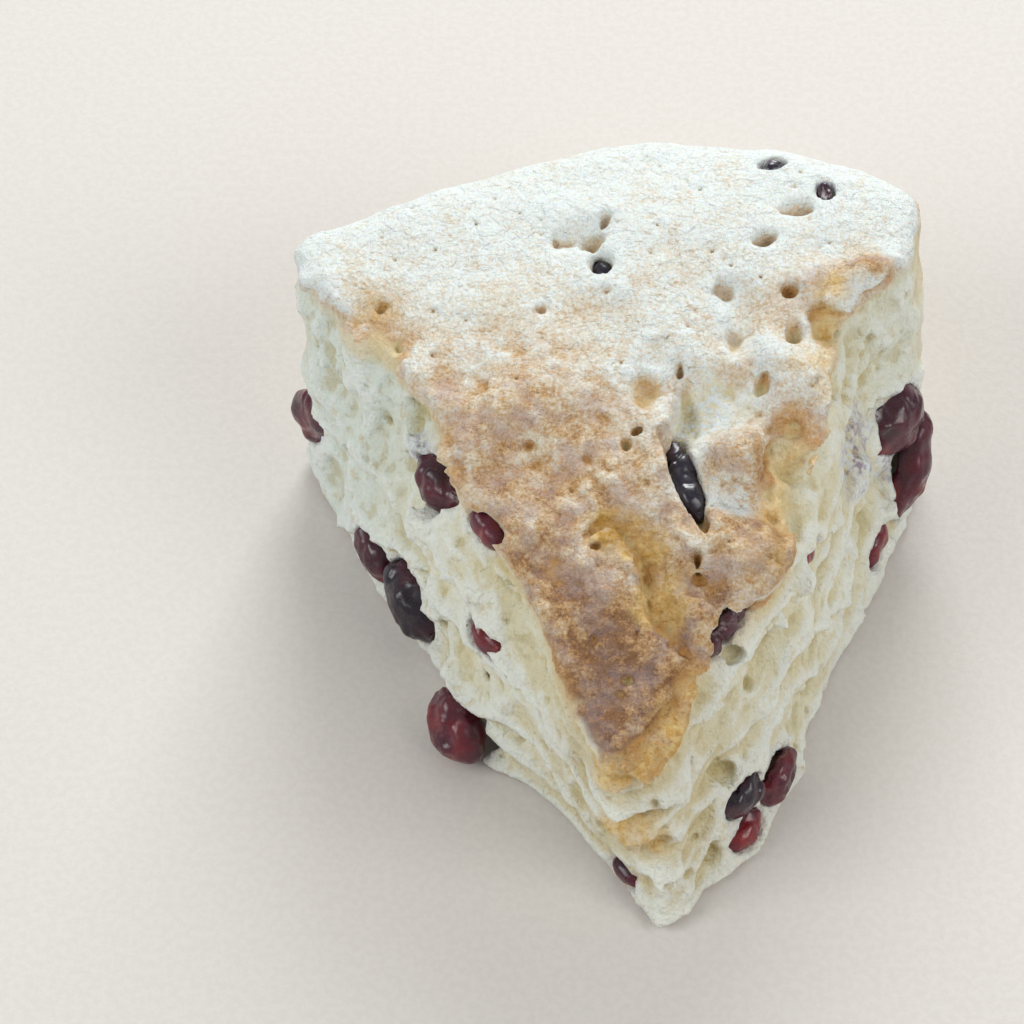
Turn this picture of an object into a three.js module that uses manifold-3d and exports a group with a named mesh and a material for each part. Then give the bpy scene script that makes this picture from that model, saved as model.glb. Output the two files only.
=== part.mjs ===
// A wedge scone with dried fruit, lying on its flat base. Millimetres, +Z up.
// The tip of the wedge points to -Y, the round outer rim to +Y, and the browned crust faces up.
// The dough is one solid with its relief. Each piece of fruit that shows is a solid of its own.

import * as THREE from 'three';
import { mergeVertices } from 'three/addons/utils/BufferGeometryUtils.js';
import { ImprovedNoise } from 'three/addons/math/ImprovedNoise.js';
import Module from 'manifold-3d';

const wasm = await Module();
wasm.setup();

const degrees = THREE.MathUtils.degToRad;
const smooth = THREE.MathUtils.smoothstep;
const lerp = THREE.MathUtils.lerp;

// Driving dimensions of the dough.
const CROWN_Z = 47.5; // highest level of the crust, on the middle line
const CROWN_Y = 30; // where along the wedge the crust is highest
const TIP_FALL = 0.003; // how fast the crust falls from the crown to the tip, per mm
const RIM_FALL = 0.01; // how fast it falls from the crown to the rim, per mm
const SIDE_TILT = 0.05; // the right side stands a little higher than the left
const CUT_EDGE_RADIUS = 2.4; // rounding of the crust where the wedge was cut
const RIM_EDGE_RADIUS = 7; // rounding of the crust over the baked rim
const BASE_EDGE = 1.3; // height of the small rounding round the base
const MIDDLE = [3, 4]; // axis that the outlines are measured round
const RIM_FROM = degrees(34); // the baked rim lies between these two directions
const RIM_TO = degrees(149);
const RIM_BLEND = degrees(7); // over which a cut wall turns into the rim

// Mesh density.
const COLUMNS = 82;
const BASE_RINGS = [0.4, 0.75];
const WALL_RINGS = 13;
const EDGE_STEPS = [0.02, 0.16, 0.45, 0.95];
const TOP_RINGS = 10;

// Relief of the cut walls: folded layers, each of which stands out at its lower edge.
const LAYERS = [0.17, 0.45, 0.72]; // where one layer meets the next, as shares of the wall's height
const LAYER_DEPTH = 1.15;
const LAYER_WANDER = 0.07; // how far a layer's edge strays, as a share of the wall's height
const WALL_LUMPS = 1.3;
const CRUST_LUMPS = 0.7;

const RIM_BULGE = 1.1; // how far the baked rim swells at half its height
const RIM_LUMPS = 0.9;
const FORM_FALL = 1.6; // how steeply a dent or swelling of the crust fades

// Wavelengths of the uneven surface.
const WAVES = { stray: 13, fold: 17, wall: 12, wallFine: 7, rim: 14, crust: 12, crustFine: 6 };

// Dried fruit.
const GAP = 0.3; // clearance between the dough and a piece of fruit in it
const CREASE_DEPTH = 0.32; // as a share of the fruit's half length
const CREASE_LENGTH = 2.2;
const FINE_FROM = 4; // pieces with a longer half length are meshed finer

// Plan of the base and of the crust's edge, from the tip round by the right, the rim and the left.
const BASE_PLAN = [
  [8.4, -50.6], [12.4, -45.5], [18.2, -39.5], [22.5, -31], [26.8, -22], [31.5, -9.5], [37, 4.5],
  [42, 16], [45.4, 26], [44.2, 36], [34, 45.4], [19, 51], [3, 53], [-13, 49], [-27, 42.8],
  [-39.4, 35], [-43, 26], [-40.4, 19], [-36, 10.5], [-30, 0.8], [-24.2, -7.6], [-20.6, -17.2],
  [-16, -25], [-7.2, -32.4], [0.6, -41.2], [5, -48],
];
const CRUST_PLAN = [
  [0.6, -47], [4.4, -45], [8.2, -41.5], [9.6, -36.5], [10.2, -31], [15, -26], [20, -20.8],
  [24, -15.5], [25.4, -8.5], [28.2, -2], [29, 6], [29.4, 13.5], [32, 18.6], [37.5, 19.8],
  [41, 27.5], [43.4, 38], [38, 44.2], [29, 49], [15, 53.4], [2, 54.4], [-11, 50.4], [-23, 44.6],
  [-34, 39], [-43.6, 32.4], [-41.4, 24.5], [-35.8, 17], [-31, 10.5], [-26, 5.6], [-23.6, 0],
  [-21, -6], [-16.8, -12.8], [-12, -20], [-8.4, -28.5], [-5.2, -36.5], [-2.4, -43.6],
];

// Dents and swellings of the crust: place, half lengths along and across, turn in degrees and rise.
const CRUST_FORMS = [
  { name: 'ridge of the brown lobe', at: [-1, -30], half: [15, 5], turn: 98, rise: 1.2 },
  { name: 'swelling left of the middle', at: [-12, 0], half: [12, 8], turn: 60, rise: 1.1 },
  { name: 'fold between the two lobes', at: [4.6, -25.5], half: [9, 2.8], turn: 118, rise: -1.5 },
  { name: 'pitted lobe', at: [13, -20], half: [8, 5], turn: 35, rise: 0.9 },
  { name: 'round lump in the pale hollow', at: [16, -4.5], half: [4.6, 4.2], turn: 0, rise: 2 },
  { name: 'pale hollow round the lump', at: [14, -5], half: [9.5, 8.5], turn: 80, rise: -1.7 },
  { name: 'hollow above the lump', at: [11.5, 5], half: [6.5, 3.4], turn: 80, rise: -1.3 },
  { name: 'baked bump at the right edge', at: [35.8, 21.8], half: [3.4, 2.4], turn: 10, rise: 1.7 },
  { name: 'soft rise at the back', at: [9, 33], half: [12, 7], turn: 0, rise: 0.9 },
  { name: 'saddle at the back left', at: [-17, 27], half: [11, 8], turn: 20, rise: -0.8 },
];

// Open holes in the crust: place, radius across, stretch, turn in degrees and depth.
const CRUST_HOLES = [
  { name: 'torn_hole_back', at: [-3.2, 30.2], radius: 1.5, stretch: 2.1, turn: 20, depth: 3.2 },
  { name: 'raisin_hole', at: [-1.3, 24.6], radius: 1.6, stretch: 1.1, turn: 90, depth: 3.4 },
  { name: 'hole_back_right', at: [26.4, 34.2], radius: 1.5, stretch: 1.8, turn: 10, depth: 3 },
  { name: 'hole_right_of_middle', at: [21.3, 28.8], radius: 1.2, stretch: 1.6, turn: 20, depth: 2.6 },
  { name: 'hole_upper_pair', at: [17.1, 19.2], radius: 1.7, stretch: 1.3, turn: 120, depth: 2.8 },
  { name: 'hole_lower_pair', at: [17.6, 12.6], radius: 1.9, stretch: 1.5, turn: 80, depth: 2.4 },
  { name: 'hole_by_the_edge', at: [24.1, 19.6], radius: 1.2, stretch: 1.1, turn: 0, depth: 2.6 },
  { name: 'slot_by_the_edge', at: [25.6, 12.6], radius: 1.1, stretch: 2, turn: 75, depth: 2.6 },
  { name: 'slot_over_the_lump', at: [20, 4.2], radius: 1.4, stretch: 1.9, turn: 60, depth: 2.6 },
  { name: 'pit_of_the_lobe', at: [11.3, -20.6], radius: 1.2, stretch: 1.4, turn: 80, depth: 1.8 },
  { name: 'slit_of_the_raisin', at: [9.2, -6.2], radius: 2.4, stretch: 3.2, turn: 106, depth: 4.6 },
];

// Fruit: middle, half lengths, where the long axis heads and how far it dips in degrees, and its bend.
const CRANBERRIES = {
  cranberry_left_corner: { at: [-42.2, 25.6, 12.6], half: [5.6, 2.9, 4.6], heading: 130, dip: 62, bend: 0.5 },
  cranberry_under_left_lip: { at: [-22.8, -2.3, 34], half: [5.4, 2.8, 3], heading: -54, dip: 12, bend: 0.4 },
  cranberry_slab_under_lip: { at: [-16.1, -12.3, 38], half: [3.7, 1.9, 1.8], heading: -56, dip: 6, bend: 0.2 },
  cranberry_left_slab: { at: [-33.5, 5.3, 6.2], half: [4.8, 2.2, 3], heading: -52, dip: 22, bend: 0.3 },
  cranberry_left_dark: { at: [-27.8, -3, 6.8], half: [6.8, 3.8, 4.6], heading: -58, dip: 26, bend: 0.5 },
  cranberry_left_sliver: { at: [-16.4, -18.9, 21.2], half: [3.8, 1.6, 1.8], heading: -50, dip: 8, bend: 0.3 },
  cranberry_left_low: { at: [-21.4, -22.8, 5.2], half: [5.8, 3.6, 4.2], heading: -60, dip: 32, bend: 0.5 },
  cranberry_right_corner: { at: [40.5, 20.6, 18.2], half: [5.8, 3.4, 5.2], heading: 58, dip: 16, bend: 0.5 },
  cranberry_right_flap: { at: [43.6, 18.2, 10.4], half: [8.4, 1.9, 2.6], heading: 70, dip: -50, bend: 1.2 },
  cranberry_right_small: { at: [37.9, 7.8, 5.4], half: [4, 1.8, 2.4], heading: 66, dip: -40, bend: 0.3 },
  cranberry_right_skin: { at: [26.2, -12.1, 31.9], half: [3, 1.2, 2], heading: 64, dip: -30, bend: 0.2 },
  cranberry_tip_dark: { at: [17.6, -35.9, 8.9], half: [4.1, 2.6, 3.4], heading: 56, dip: -6, bend: 0.2 },
  cranberry_tip_slab: { at: [23.1, -31, 4.9], half: [4.6, 2, 3.2], heading: 58, dip: -10, bend: 0.5 },
  cranberry_tip_low: { at: [18.6, -38, 3.1], half: [3.8, 1.8, 2.2], heading: 56, dip: -6, bend: 0.3 },
  cranberry_tip_left: { at: [2.4, -44.7, 2.5], half: [3, 1.3, 1.5], heading: -48, dip: 10, bend: 0.2 },
  cranberry_rim_left: { at: [-26.8, 42.4, 22], half: [6.2, 3, 4.2], heading: 208, dip: 12, bend: 0.5 },
  cranberry_rim_middle: { at: [-3, 51.8, 12], half: [5.6, 2.8, 3.8], heading: 180, dip: -14, bend: 0.4 },
  cranberry_rim_right: { at: [30.3, 47.1, 27], half: [6, 3, 4], heading: 150, dip: 16, bend: 0.5 },
};
const RAISINS = {
  raisin_in_slit: { at: [9.7, -6.7, 40.4], half: [6.9, 1.9, 2.3], heading: 106, dip: -4, bend: -0.5 },
  raisin_in_hole: { at: [-0.9, 25.5, 44.9], half: [2.2, 1.3, 1.6], heading: 110, dip: 0, bend: 0.2 },
  raisin_under_right_lip: { at: [14.7, -26, 34.4], half: [5.6, 1.3, 1.7], heading: 50, dip: -24, bend: 0.6 },
  raisin_crumb_right_wall: { at: [32.2, -5.2, 11], half: [1.8, 1.2, 1.4], heading: 66, dip: 0, bend: 0.1 },
  raisin_back_crumb: { at: [22.7, 43, 46.4], half: [2.2, 1.4, 1.5], heading: 20, dip: 0, bend: 0.1 },
  raisin_right_crumb: { at: [30, 37.4, 47.8], half: [2, 1.2, 1.4], heading: 110, dip: 0, bend: 0.1 },
  raisin_tip_crumb: { at: [9, -39.2, 21.6], half: [1.7, 1.1, 1.5], heading: 70, dip: 0, bend: 0.1 },
  raisin_rim_left: { at: [-17.2, 47.4, 31], half: [5, 2.4, 3], heading: 200, dip: 20, bend: 0.4 },
};

const noise = new ImprovedNoise();

// Smooth noise of the given wavelength, about -1 to 1.
function wave(x, y, z, length) {
  return noise.noise(x / length + 31.7, y / length + 17.3, z / length + 5.1);
}

// Radius of a closed plan as a function of the direction from the middle axis.
function planRadius(points) {
  const loop = new THREE.CatmullRomCurve3(
    points.map(([x, y]) => new THREE.Vector3(x - MIDDLE[0], y - MIDDLE[1], 0)),
    true,
    'centripetal',
  );
  const polar = loop.getPoints(900).map((p) => [Math.atan2(p.y, p.x), Math.hypot(p.x, p.y)]);
  polar.sort((a, b) => a[0] - b[0]);
  const turn = 2 * Math.PI;
  const ring = [
    [polar.at(-1)[0] - turn, polar.at(-1)[1]],
    ...polar,
    [polar[0][0] + turn, polar[0][1]],
  ];
  return (angle) => {
    let low = 0;
    let high = ring.length - 1;
    while (high - low > 1) {
      const half = (low + high) >> 1;
      if (ring[half][0] <= angle) low = half;
      else high = half;
    }
    const [a0, r0] = ring[low];
    const [a1, r1] = ring[high];
    return lerp(r0, r1, (angle - a0) / Math.max(a1 - a0, 1e-9));
  };
}

// Directions of the mesh's columns, evenly spaced along the base.
function columnAngles(radius) {
  const steps = 4000;
  const angles = Array.from({ length: steps + 1 }, (_, i) => -Math.PI + (2 * Math.PI * i) / steps);
  const lengths = [0];
  for (let i = 1; i <= steps; i++) {
    const [a, b] = [angles[i - 1], angles[i]];
    const [ra, rb] = [radius(a), radius(b)];
    const step = Math.hypot(rb * Math.cos(b) - ra * Math.cos(a), rb * Math.sin(b) - ra * Math.sin(a));
    lengths.push(lengths[i - 1] + step);
  }
  const chosen = [];
  for (let i = 0, k = 0; k < COLUMNS; k++) {
    while (lengths[i] < (lengths[steps] * k) / COLUMNS) i++;
    chosen.push(angles[i]);
  }
  return chosen;
}

// 1 on the baked rim, 0 on the two cut walls.
function rimShare(angle) {
  return smooth(angle, RIM_FROM - RIM_BLEND, RIM_FROM + RIM_BLEND)
    * (1 - smooth(angle, RIM_TO - RIM_BLEND, RIM_TO + RIM_BLEND));
}

// Rise of the crust's dents and swellings at a place.
function crustForms(x, y) {
  let sum = 0;
  for (const { at, half, turn, rise } of CRUST_FORMS) {
    const a = degrees(turn);
    const [dx, dy] = [x - at[0], y - at[1]];
    const along = (dx * Math.cos(a) + dy * Math.sin(a)) / half[0];
    const across = (dy * Math.cos(a) - dx * Math.sin(a)) / half[1];
    sum += rise * Math.exp(-FORM_FALL * (along * along + across * across));
  }
  return sum;
}

// Level of the crust before its edges are rounded.
function crustLevel(x, y) {
  const back = y - CROWN_Y;
  return CROWN_Z - (back < 0 ? TIP_FALL : RIM_FALL) * back * back + SIDE_TILT * x;
}

// How far a cut wall stands out at a share of its height: layers, lumps and the recess under the crust.
function wallRelief(angle, share, x, y, z) {
  const stray = LAYER_WANDER * 2 * wave(x, y, 0, WAVES.stray);
  const edges = [0, ...LAYERS.map((s) => s + stray), 1];
  let layer = 0;
  while (layer < edges.length - 2 && share > edges[layer + 1]) layer++;
  const part = (share - edges[layer]) / (edges[layer + 1] - edges[layer]);
  const fold = LAYER_DEPTH * (1 - 2 * part) * (1 + 0.9 * wave(x, y, z, WAVES.fold));
  const lumps = WALL_LUMPS * (wave(x, y, z, WAVES.wall) + 0.3 * wave(x, y, z, WAVES.wallFine));
  const cut = 1 - rimShare(angle);
  const baked = RIM_BULGE * Math.sin(Math.PI * share) + RIM_LUMPS * wave(x, y, z, WAVES.rim);
  return cut * (fold + lumps) + (1 - cut) * baked;
}

// The dough's outer skin as one closed polar mesh: base, walls, rounded edge and crust.
function doughSkin() {
  const baseRadius = planRadius(BASE_PLAN);
  const crustRadius = planRadius(CRUST_PLAN);
  const angles = columnAngles(baseRadius);
  const place = (angle, r) => [MIDDLE[0] + r * Math.cos(angle), MIDDLE[1] + r * Math.sin(angle)];

  const column = (angle) => {
    const [rb, rt] = [baseRadius(angle), crustRadius(angle)];
    const edge = lerp(CUT_EDGE_RADIUS, RIM_EDGE_RADIUS, rimShare(angle));
    const wallTop = crustLevel(...place(angle, rt)) - edge;
    const points = BASE_RINGS.map((share) => [...place(angle, share * rb), 0]);
    points.push([...place(angle, rb - BASE_EDGE), 0]);
    for (let k = 0; k < WALL_RINGS; k++) {
      const share = k / (WALL_RINGS - 1);
      const z = lerp(BASE_EDGE, wallTop, share);
      const plain = lerp(rb, rt, z / (wallTop + edge));
      const r = plain + wallRelief(angle, share, ...place(angle, plain), z);
      points.push([...place(angle, r), z]);
    }
    const crustPoint = (r) => {
      const inward = Math.min((rt - r) / edge, 1);
      const rounding = edge * (1 - Math.sqrt(1 - (1 - inward) ** 2));
      const [x, y] = place(angle, r);
      const lumps = CRUST_LUMPS * (wave(x, y, 0, WAVES.crust) + 0.5 * wave(x, y, 9, WAVES.crustFine));
      return [x, y, crustLevel(x, y) - rounding + inward * (lumps + crustForms(x, y))];
    };
    for (const step of EDGE_STEPS) points.push(crustPoint(rt - step * edge));
    const inner = rt - EDGE_STEPS.at(-1) * edge;
    for (let k = 1; k <= TOP_RINGS; k++) points.push(crustPoint(inner * (1 - k / (TOP_RINGS + 1))));
    return points;
  };

  const columns = angles.map(column);
  const rings = columns[0].length;
  const [cx, cy] = MIDDLE;
  const vertices = [cx, cy, 0, cx, cy, crustLevel(cx, cy) + crustForms(cx, cy)];
  for (const points of columns) for (const p of points) vertices.push(...p);
  const index = (c, k) => 2 + (c % COLUMNS) * rings + k;
  const length = (i, j) => Math.hypot(...[0, 1, 2].map((k) => vertices[3 * i + k] - vertices[3 * j + k]));
  const faces = [];
  for (let c = 0; c < COLUMNS; c++) {
    faces.push(0, index(c + 1, 0), index(c, 0));
    faces.push(1, index(c, rings - 1), index(c + 1, rings - 1));
    for (let k = 0; k < rings - 1; k++) {
      const [a, b, d, e] = [index(c, k), index(c + 1, k), index(c, k + 1), index(c + 1, k + 1)];
      if (length(a, e) < length(b, d)) faces.push(a, b, e, a, e, d);
      else faces.push(a, b, d, b, e, d);
    }
  }
  return { vertices, faces };
}

// A closed three.js geometry as a manifold-3d solid.
function toSolid(geometry) {
  const plain = geometry.clone();
  plain.deleteAttribute('normal');
  plain.deleteAttribute('uv');
  const merged = mergeVertices(plain, 1e-4);
  return new wasm.Manifold(new wasm.Mesh({
    numProp: 3,
    vertProperties: merged.attributes.position.array,
    triVerts: new Uint32Array(merged.index.array),
  }));
}

function largestBody(solid) {
  return solid.decompose().sort((a, b) => b.volume() - a.volume())[0];
}

function toGeometry(solid) {
  const mesh = solid.getMesh();
  return new THREE.BufferGeometry()
    .setAttribute('position', new THREE.BufferAttribute(mesh.vertProperties, 3))
    .setIndex(new THREE.BufferAttribute(mesh.triVerts, 1));
}

// One piece of dried fruit: a creased, slightly bent egg shape. grow widens it all round.
function fruitGeometry({ at, half, heading, dip, bend }, grow = 0) {
  const geometry = new THREE.IcosahedronGeometry(1, half[0] > FINE_FROM ? 2 : 1);
  const position = geometry.attributes.position;
  const place = new THREE.Matrix4().compose(
    new THREE.Vector3(...at),
    new THREE.Quaternion().setFromEuler(new THREE.Euler(0, degrees(dip), degrees(heading), 'ZYX')),
    new THREE.Vector3(1, 1, 1),
  );
  const p = new THREE.Vector3();
  for (let i = 0; i < position.count; i++) {
    p.fromBufferAttribute(position, i).normalize();
    const crease = Math.abs(wave(p.x * 2 + at[0], p.y * 5 + at[1], p.z * 5 + at[2], CREASE_LENGTH));
    const swell = 1 - CREASE_DEPTH * crease;
    const reach = half.map((h) => h * swell + grow);
    p.set(p.x * reach[0], p.y * reach[1] + bend * p.x * p.x, p.z * reach[2]);
    position.setXYZ(i, ...p.applyMatrix4(place));
  }
  return geometry;
}

// A piece of fruit as a solid. It gives way to the pieces listed before it.
function fruitSolid(piece, earlier) {
  const cut = earlier.reduce((solid, other) => solid.subtract(toSolid(fruitGeometry(other, GAP))),
    toSolid(fruitGeometry(piece)));
  return largestBody(cut);
}

// The tool that opens a hole: an ellipsoid sunk from the crust.
function holeGeometry({ at, radius, stretch, turn, depth }) {
  const geometry = new THREE.IcosahedronGeometry(1, 1);
  geometry.scale(radius * stretch, radius, depth);
  geometry.rotateZ(degrees(turn));
  geometry.translate(at[0], at[1], crustLevel(...at) + crustForms(...at));
  return geometry;
}

// The dough, with its holes and with a socket for each piece of fruit.
function doughGeometry(fruit) {
  const { vertices, faces } = doughSkin();
  let dough = new wasm.Manifold(new wasm.Mesh({
    numProp: 3,
    vertProperties: new Float32Array(vertices),
    triVerts: new Uint32Array(faces),
  }));
  for (const hole of CRUST_HOLES) dough = dough.subtract(toSolid(holeGeometry(hole)));
  for (const piece of fruit) dough = dough.subtract(toSolid(fruitGeometry(piece, GAP)));
  return toGeometry(largestBody(dough));
}

const doughMaterial = new THREE.MeshStandardMaterial({ color: 0xe3d6ae, roughness: 0.8, metalness: 0 });
const cranberryMaterial = new THREE.MeshStandardMaterial({ color: 0x551a1f, roughness: 0.3, metalness: 0 });
const raisinMaterial = new THREE.MeshStandardMaterial({ color: 0x1f1820, roughness: 0.4, metalness: 0 });

function namedMesh(name, geometry, material) {
  const mesh = new THREE.Mesh(geometry, material);
  mesh.name = name;
  return mesh;
}

function buildScone() {
  const scone = new THREE.Group();
  const names = [...Object.keys(CRANBERRIES), ...Object.keys(RAISINS)];
  const fruit = [...Object.values(CRANBERRIES), ...Object.values(RAISINS)];
  scone.add(namedMesh('dough', doughGeometry(fruit), doughMaterial));
  fruit.forEach((piece, i) => {
    const geometry = toGeometry(fruitSolid(piece, fruit.slice(0, i)));
    scone.add(namedMesh(names[i], geometry, names[i] in CRANBERRIES ? cranberryMaterial : raisinMaterial));
  });
  const box = new THREE.Box3().setFromObject(scone);
  scone.position.set(-(box.min.x + box.max.x) / 2, -(box.min.y + box.max.y) / 2, -box.min.z);
  return scone;
}

export default buildScone();
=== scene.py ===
import math

import bpy
import numpy as np
import openvdb as vdb
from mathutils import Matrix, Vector


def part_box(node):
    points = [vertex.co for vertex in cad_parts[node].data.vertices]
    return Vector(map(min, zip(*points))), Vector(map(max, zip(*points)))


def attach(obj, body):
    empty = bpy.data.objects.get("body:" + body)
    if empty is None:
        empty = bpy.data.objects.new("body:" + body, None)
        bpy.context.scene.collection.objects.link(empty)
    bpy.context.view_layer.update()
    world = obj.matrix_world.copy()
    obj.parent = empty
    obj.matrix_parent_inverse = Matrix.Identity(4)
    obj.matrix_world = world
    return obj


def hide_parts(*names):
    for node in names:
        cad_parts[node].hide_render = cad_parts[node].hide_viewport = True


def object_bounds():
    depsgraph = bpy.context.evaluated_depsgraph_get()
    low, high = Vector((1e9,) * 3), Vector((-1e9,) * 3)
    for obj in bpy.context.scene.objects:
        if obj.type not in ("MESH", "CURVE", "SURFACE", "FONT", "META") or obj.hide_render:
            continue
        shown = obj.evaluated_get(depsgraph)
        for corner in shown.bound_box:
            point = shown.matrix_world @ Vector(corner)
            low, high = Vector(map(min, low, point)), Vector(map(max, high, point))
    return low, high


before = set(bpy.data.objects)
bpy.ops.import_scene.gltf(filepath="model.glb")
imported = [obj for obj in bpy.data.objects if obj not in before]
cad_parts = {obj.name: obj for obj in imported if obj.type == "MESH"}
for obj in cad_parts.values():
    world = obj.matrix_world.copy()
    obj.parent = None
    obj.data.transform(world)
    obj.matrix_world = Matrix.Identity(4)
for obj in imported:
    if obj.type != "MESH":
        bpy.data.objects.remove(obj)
cad_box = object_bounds()

# The scone's looks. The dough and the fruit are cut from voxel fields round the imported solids.
# The fields are in millimetres in the row frame, and the meshes made from them are in metres.
# The tip of the wedge points to -Y, the baked rim to +Y, and the crust faces up.

MM = 0.001
FRUIT = [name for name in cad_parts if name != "dough"]

# Camera, fitted to the photograph.
CAMERA_PITCH = math.radians(55)  # how steeply it looks down
CAMERA_AIM = (0.0097, -1.8917, 20)
CAMERA_DISTANCE = 480
CAMERA_LENS = 121.5  # mm of focal length on a sensor 36 mm wide
SENSOR = 36
AIM_PIXEL = (610, 530)  # where the aim lies in the photograph's 1024 pixels
PHOTO_SIDE = 1024

# Voxel fields. A blur is the width of the bell curve that softens a field.
COARSE = 1.0
FINE = 0.5
MARGIN = 9
REACH = 8  # how far from the surface the coarse field is exact
BAND = 3.4  # how far from the surface the fine relief is worked out
SKIN_BLUR = 0.65
FINE_BLUR = 0.6
EDGE_BLUR = 1.8
EDGE_GAIN = 1.0  # how much the edges that the softening has rounded are brought back
RIDGE_BLUR = 0.9  # a field blurred by this shows the material its small ridges and dents, for painted highlight and painted shade
SWELL_BLUR = 2.2  # and by this its larger swells and hollows, for the same
ADAPTIVITY = 0.12  # how far the mesh spares faces on level places

# Wall directions in degrees, measured round the wedge's middle.
MIDDLE = np.array([3.0, 2.1])
RIM_FROM = 34
RIM_TO = 149
TIP_AT = -87
BLEND = 7
LEFT_RUN = np.array([0.534, -0.845, 0.0])  # along the left cut wall, to the tip
RIGHT_RUN = np.array([-0.390, -0.921, 0.0])

rng = np.random.default_rng(23)
PERMUTED = np.tile(rng.permutation(256), 2)
GRADIENTS = rng.normal(size=(256, 3)).astype(np.float32)
GRADIENTS /= np.linalg.norm(GRADIENTS, axis=1, keepdims=True)


def smooth(value, low, high):
    """0 at low and 1 at high, with a soft start and end. low may be above high."""
    t = np.clip((value - low) / (high - low), 0, 1)
    return t * t * (3 - 2 * t)


def noise(points, length, seed=0):
    """Smooth noise at the points, about -1 to 1. length is its wavelength, in mm."""
    q = points / length + 7.31 * seed + 3.17
    cell = np.floor(q).astype(np.int64)
    f = (q - cell).astype(np.float32)
    u = f * f * f * (f * (f * 6 - 15) + 10)
    cell &= 255
    total = np.zeros(len(points), np.float32)
    for dx in (0, 1):
        wx = u[:, 0] if dx else 1 - u[:, 0]
        hx = PERMUTED[(cell[:, 0] + dx) & 255]
        for dy in (0, 1):
            wy = wx * (u[:, 1] if dy else 1 - u[:, 1])
            hy = PERMUTED[(hx + cell[:, 1] + dy) & 255]
            for dz in (0, 1):
                g = GRADIENTS[PERMUTED[(hy + cell[:, 2] + dz) & 255]]
                dot = g[:, 0] * (f[:, 0] - dx) + g[:, 1] * (f[:, 1] - dy) + g[:, 2] * (f[:, 2] - dz)
                total += wy * (u[:, 2] if dz else 1 - u[:, 2]) * dot
    return total * 1.7


def layered(points, *layers):
    """The sum of some noises, each given by its amount, wavelength and seed."""
    return sum(amount * noise(points, length, seed) for amount, length, seed in layers)


def noises(points, length, seed, count):
    """Noises side by side, to move points by."""
    return np.stack([noise(points, length, seed + k) for k in range(count)], axis=1)


def ridges(points, length, seed=0):
    """Noise with sharp crests, 0 to 1."""
    return 1 - np.minimum(np.abs(noise(points, length, seed)) * 1.8, 1)


def stretched(points, direction, factor):
    """The points pressed together along a direction, so that noise at them is drawn out along it."""
    along = direction / np.linalg.norm(direction)
    return points - (points @ along)[:, None] * along * (1 - 1 / factor)


def smooth_max(a, b, width):
    """The larger of two fields, with the edge where they meet rounded."""
    h = np.clip(0.5 + 0.5 * (a - b) / width, 0, 1)
    return b * (1 - h) + a * h + width * h * (1 - h)


def solid_of(nodes):
    """Vertices in mm and triangles of some CAD nodes together."""
    points, faces, count = [], [], 0
    for name in nodes:
        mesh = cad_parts[name].data
        mesh.calc_loop_triangles()
        co = np.empty(len(mesh.vertices) * 3, np.float32)
        mesh.vertices.foreach_get("co", co)
        corners = np.empty(len(mesh.loop_triangles) * 3, np.int32)
        mesh.loop_triangles.foreach_get("vertices", corners)
        points.append(co.reshape(-1, 3) / MM)
        faces.append(corners.reshape(-1, 3) + count)
        count += len(mesh.vertices)
    return np.concatenate(points), np.concatenate(faces).astype(np.uint32)


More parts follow.
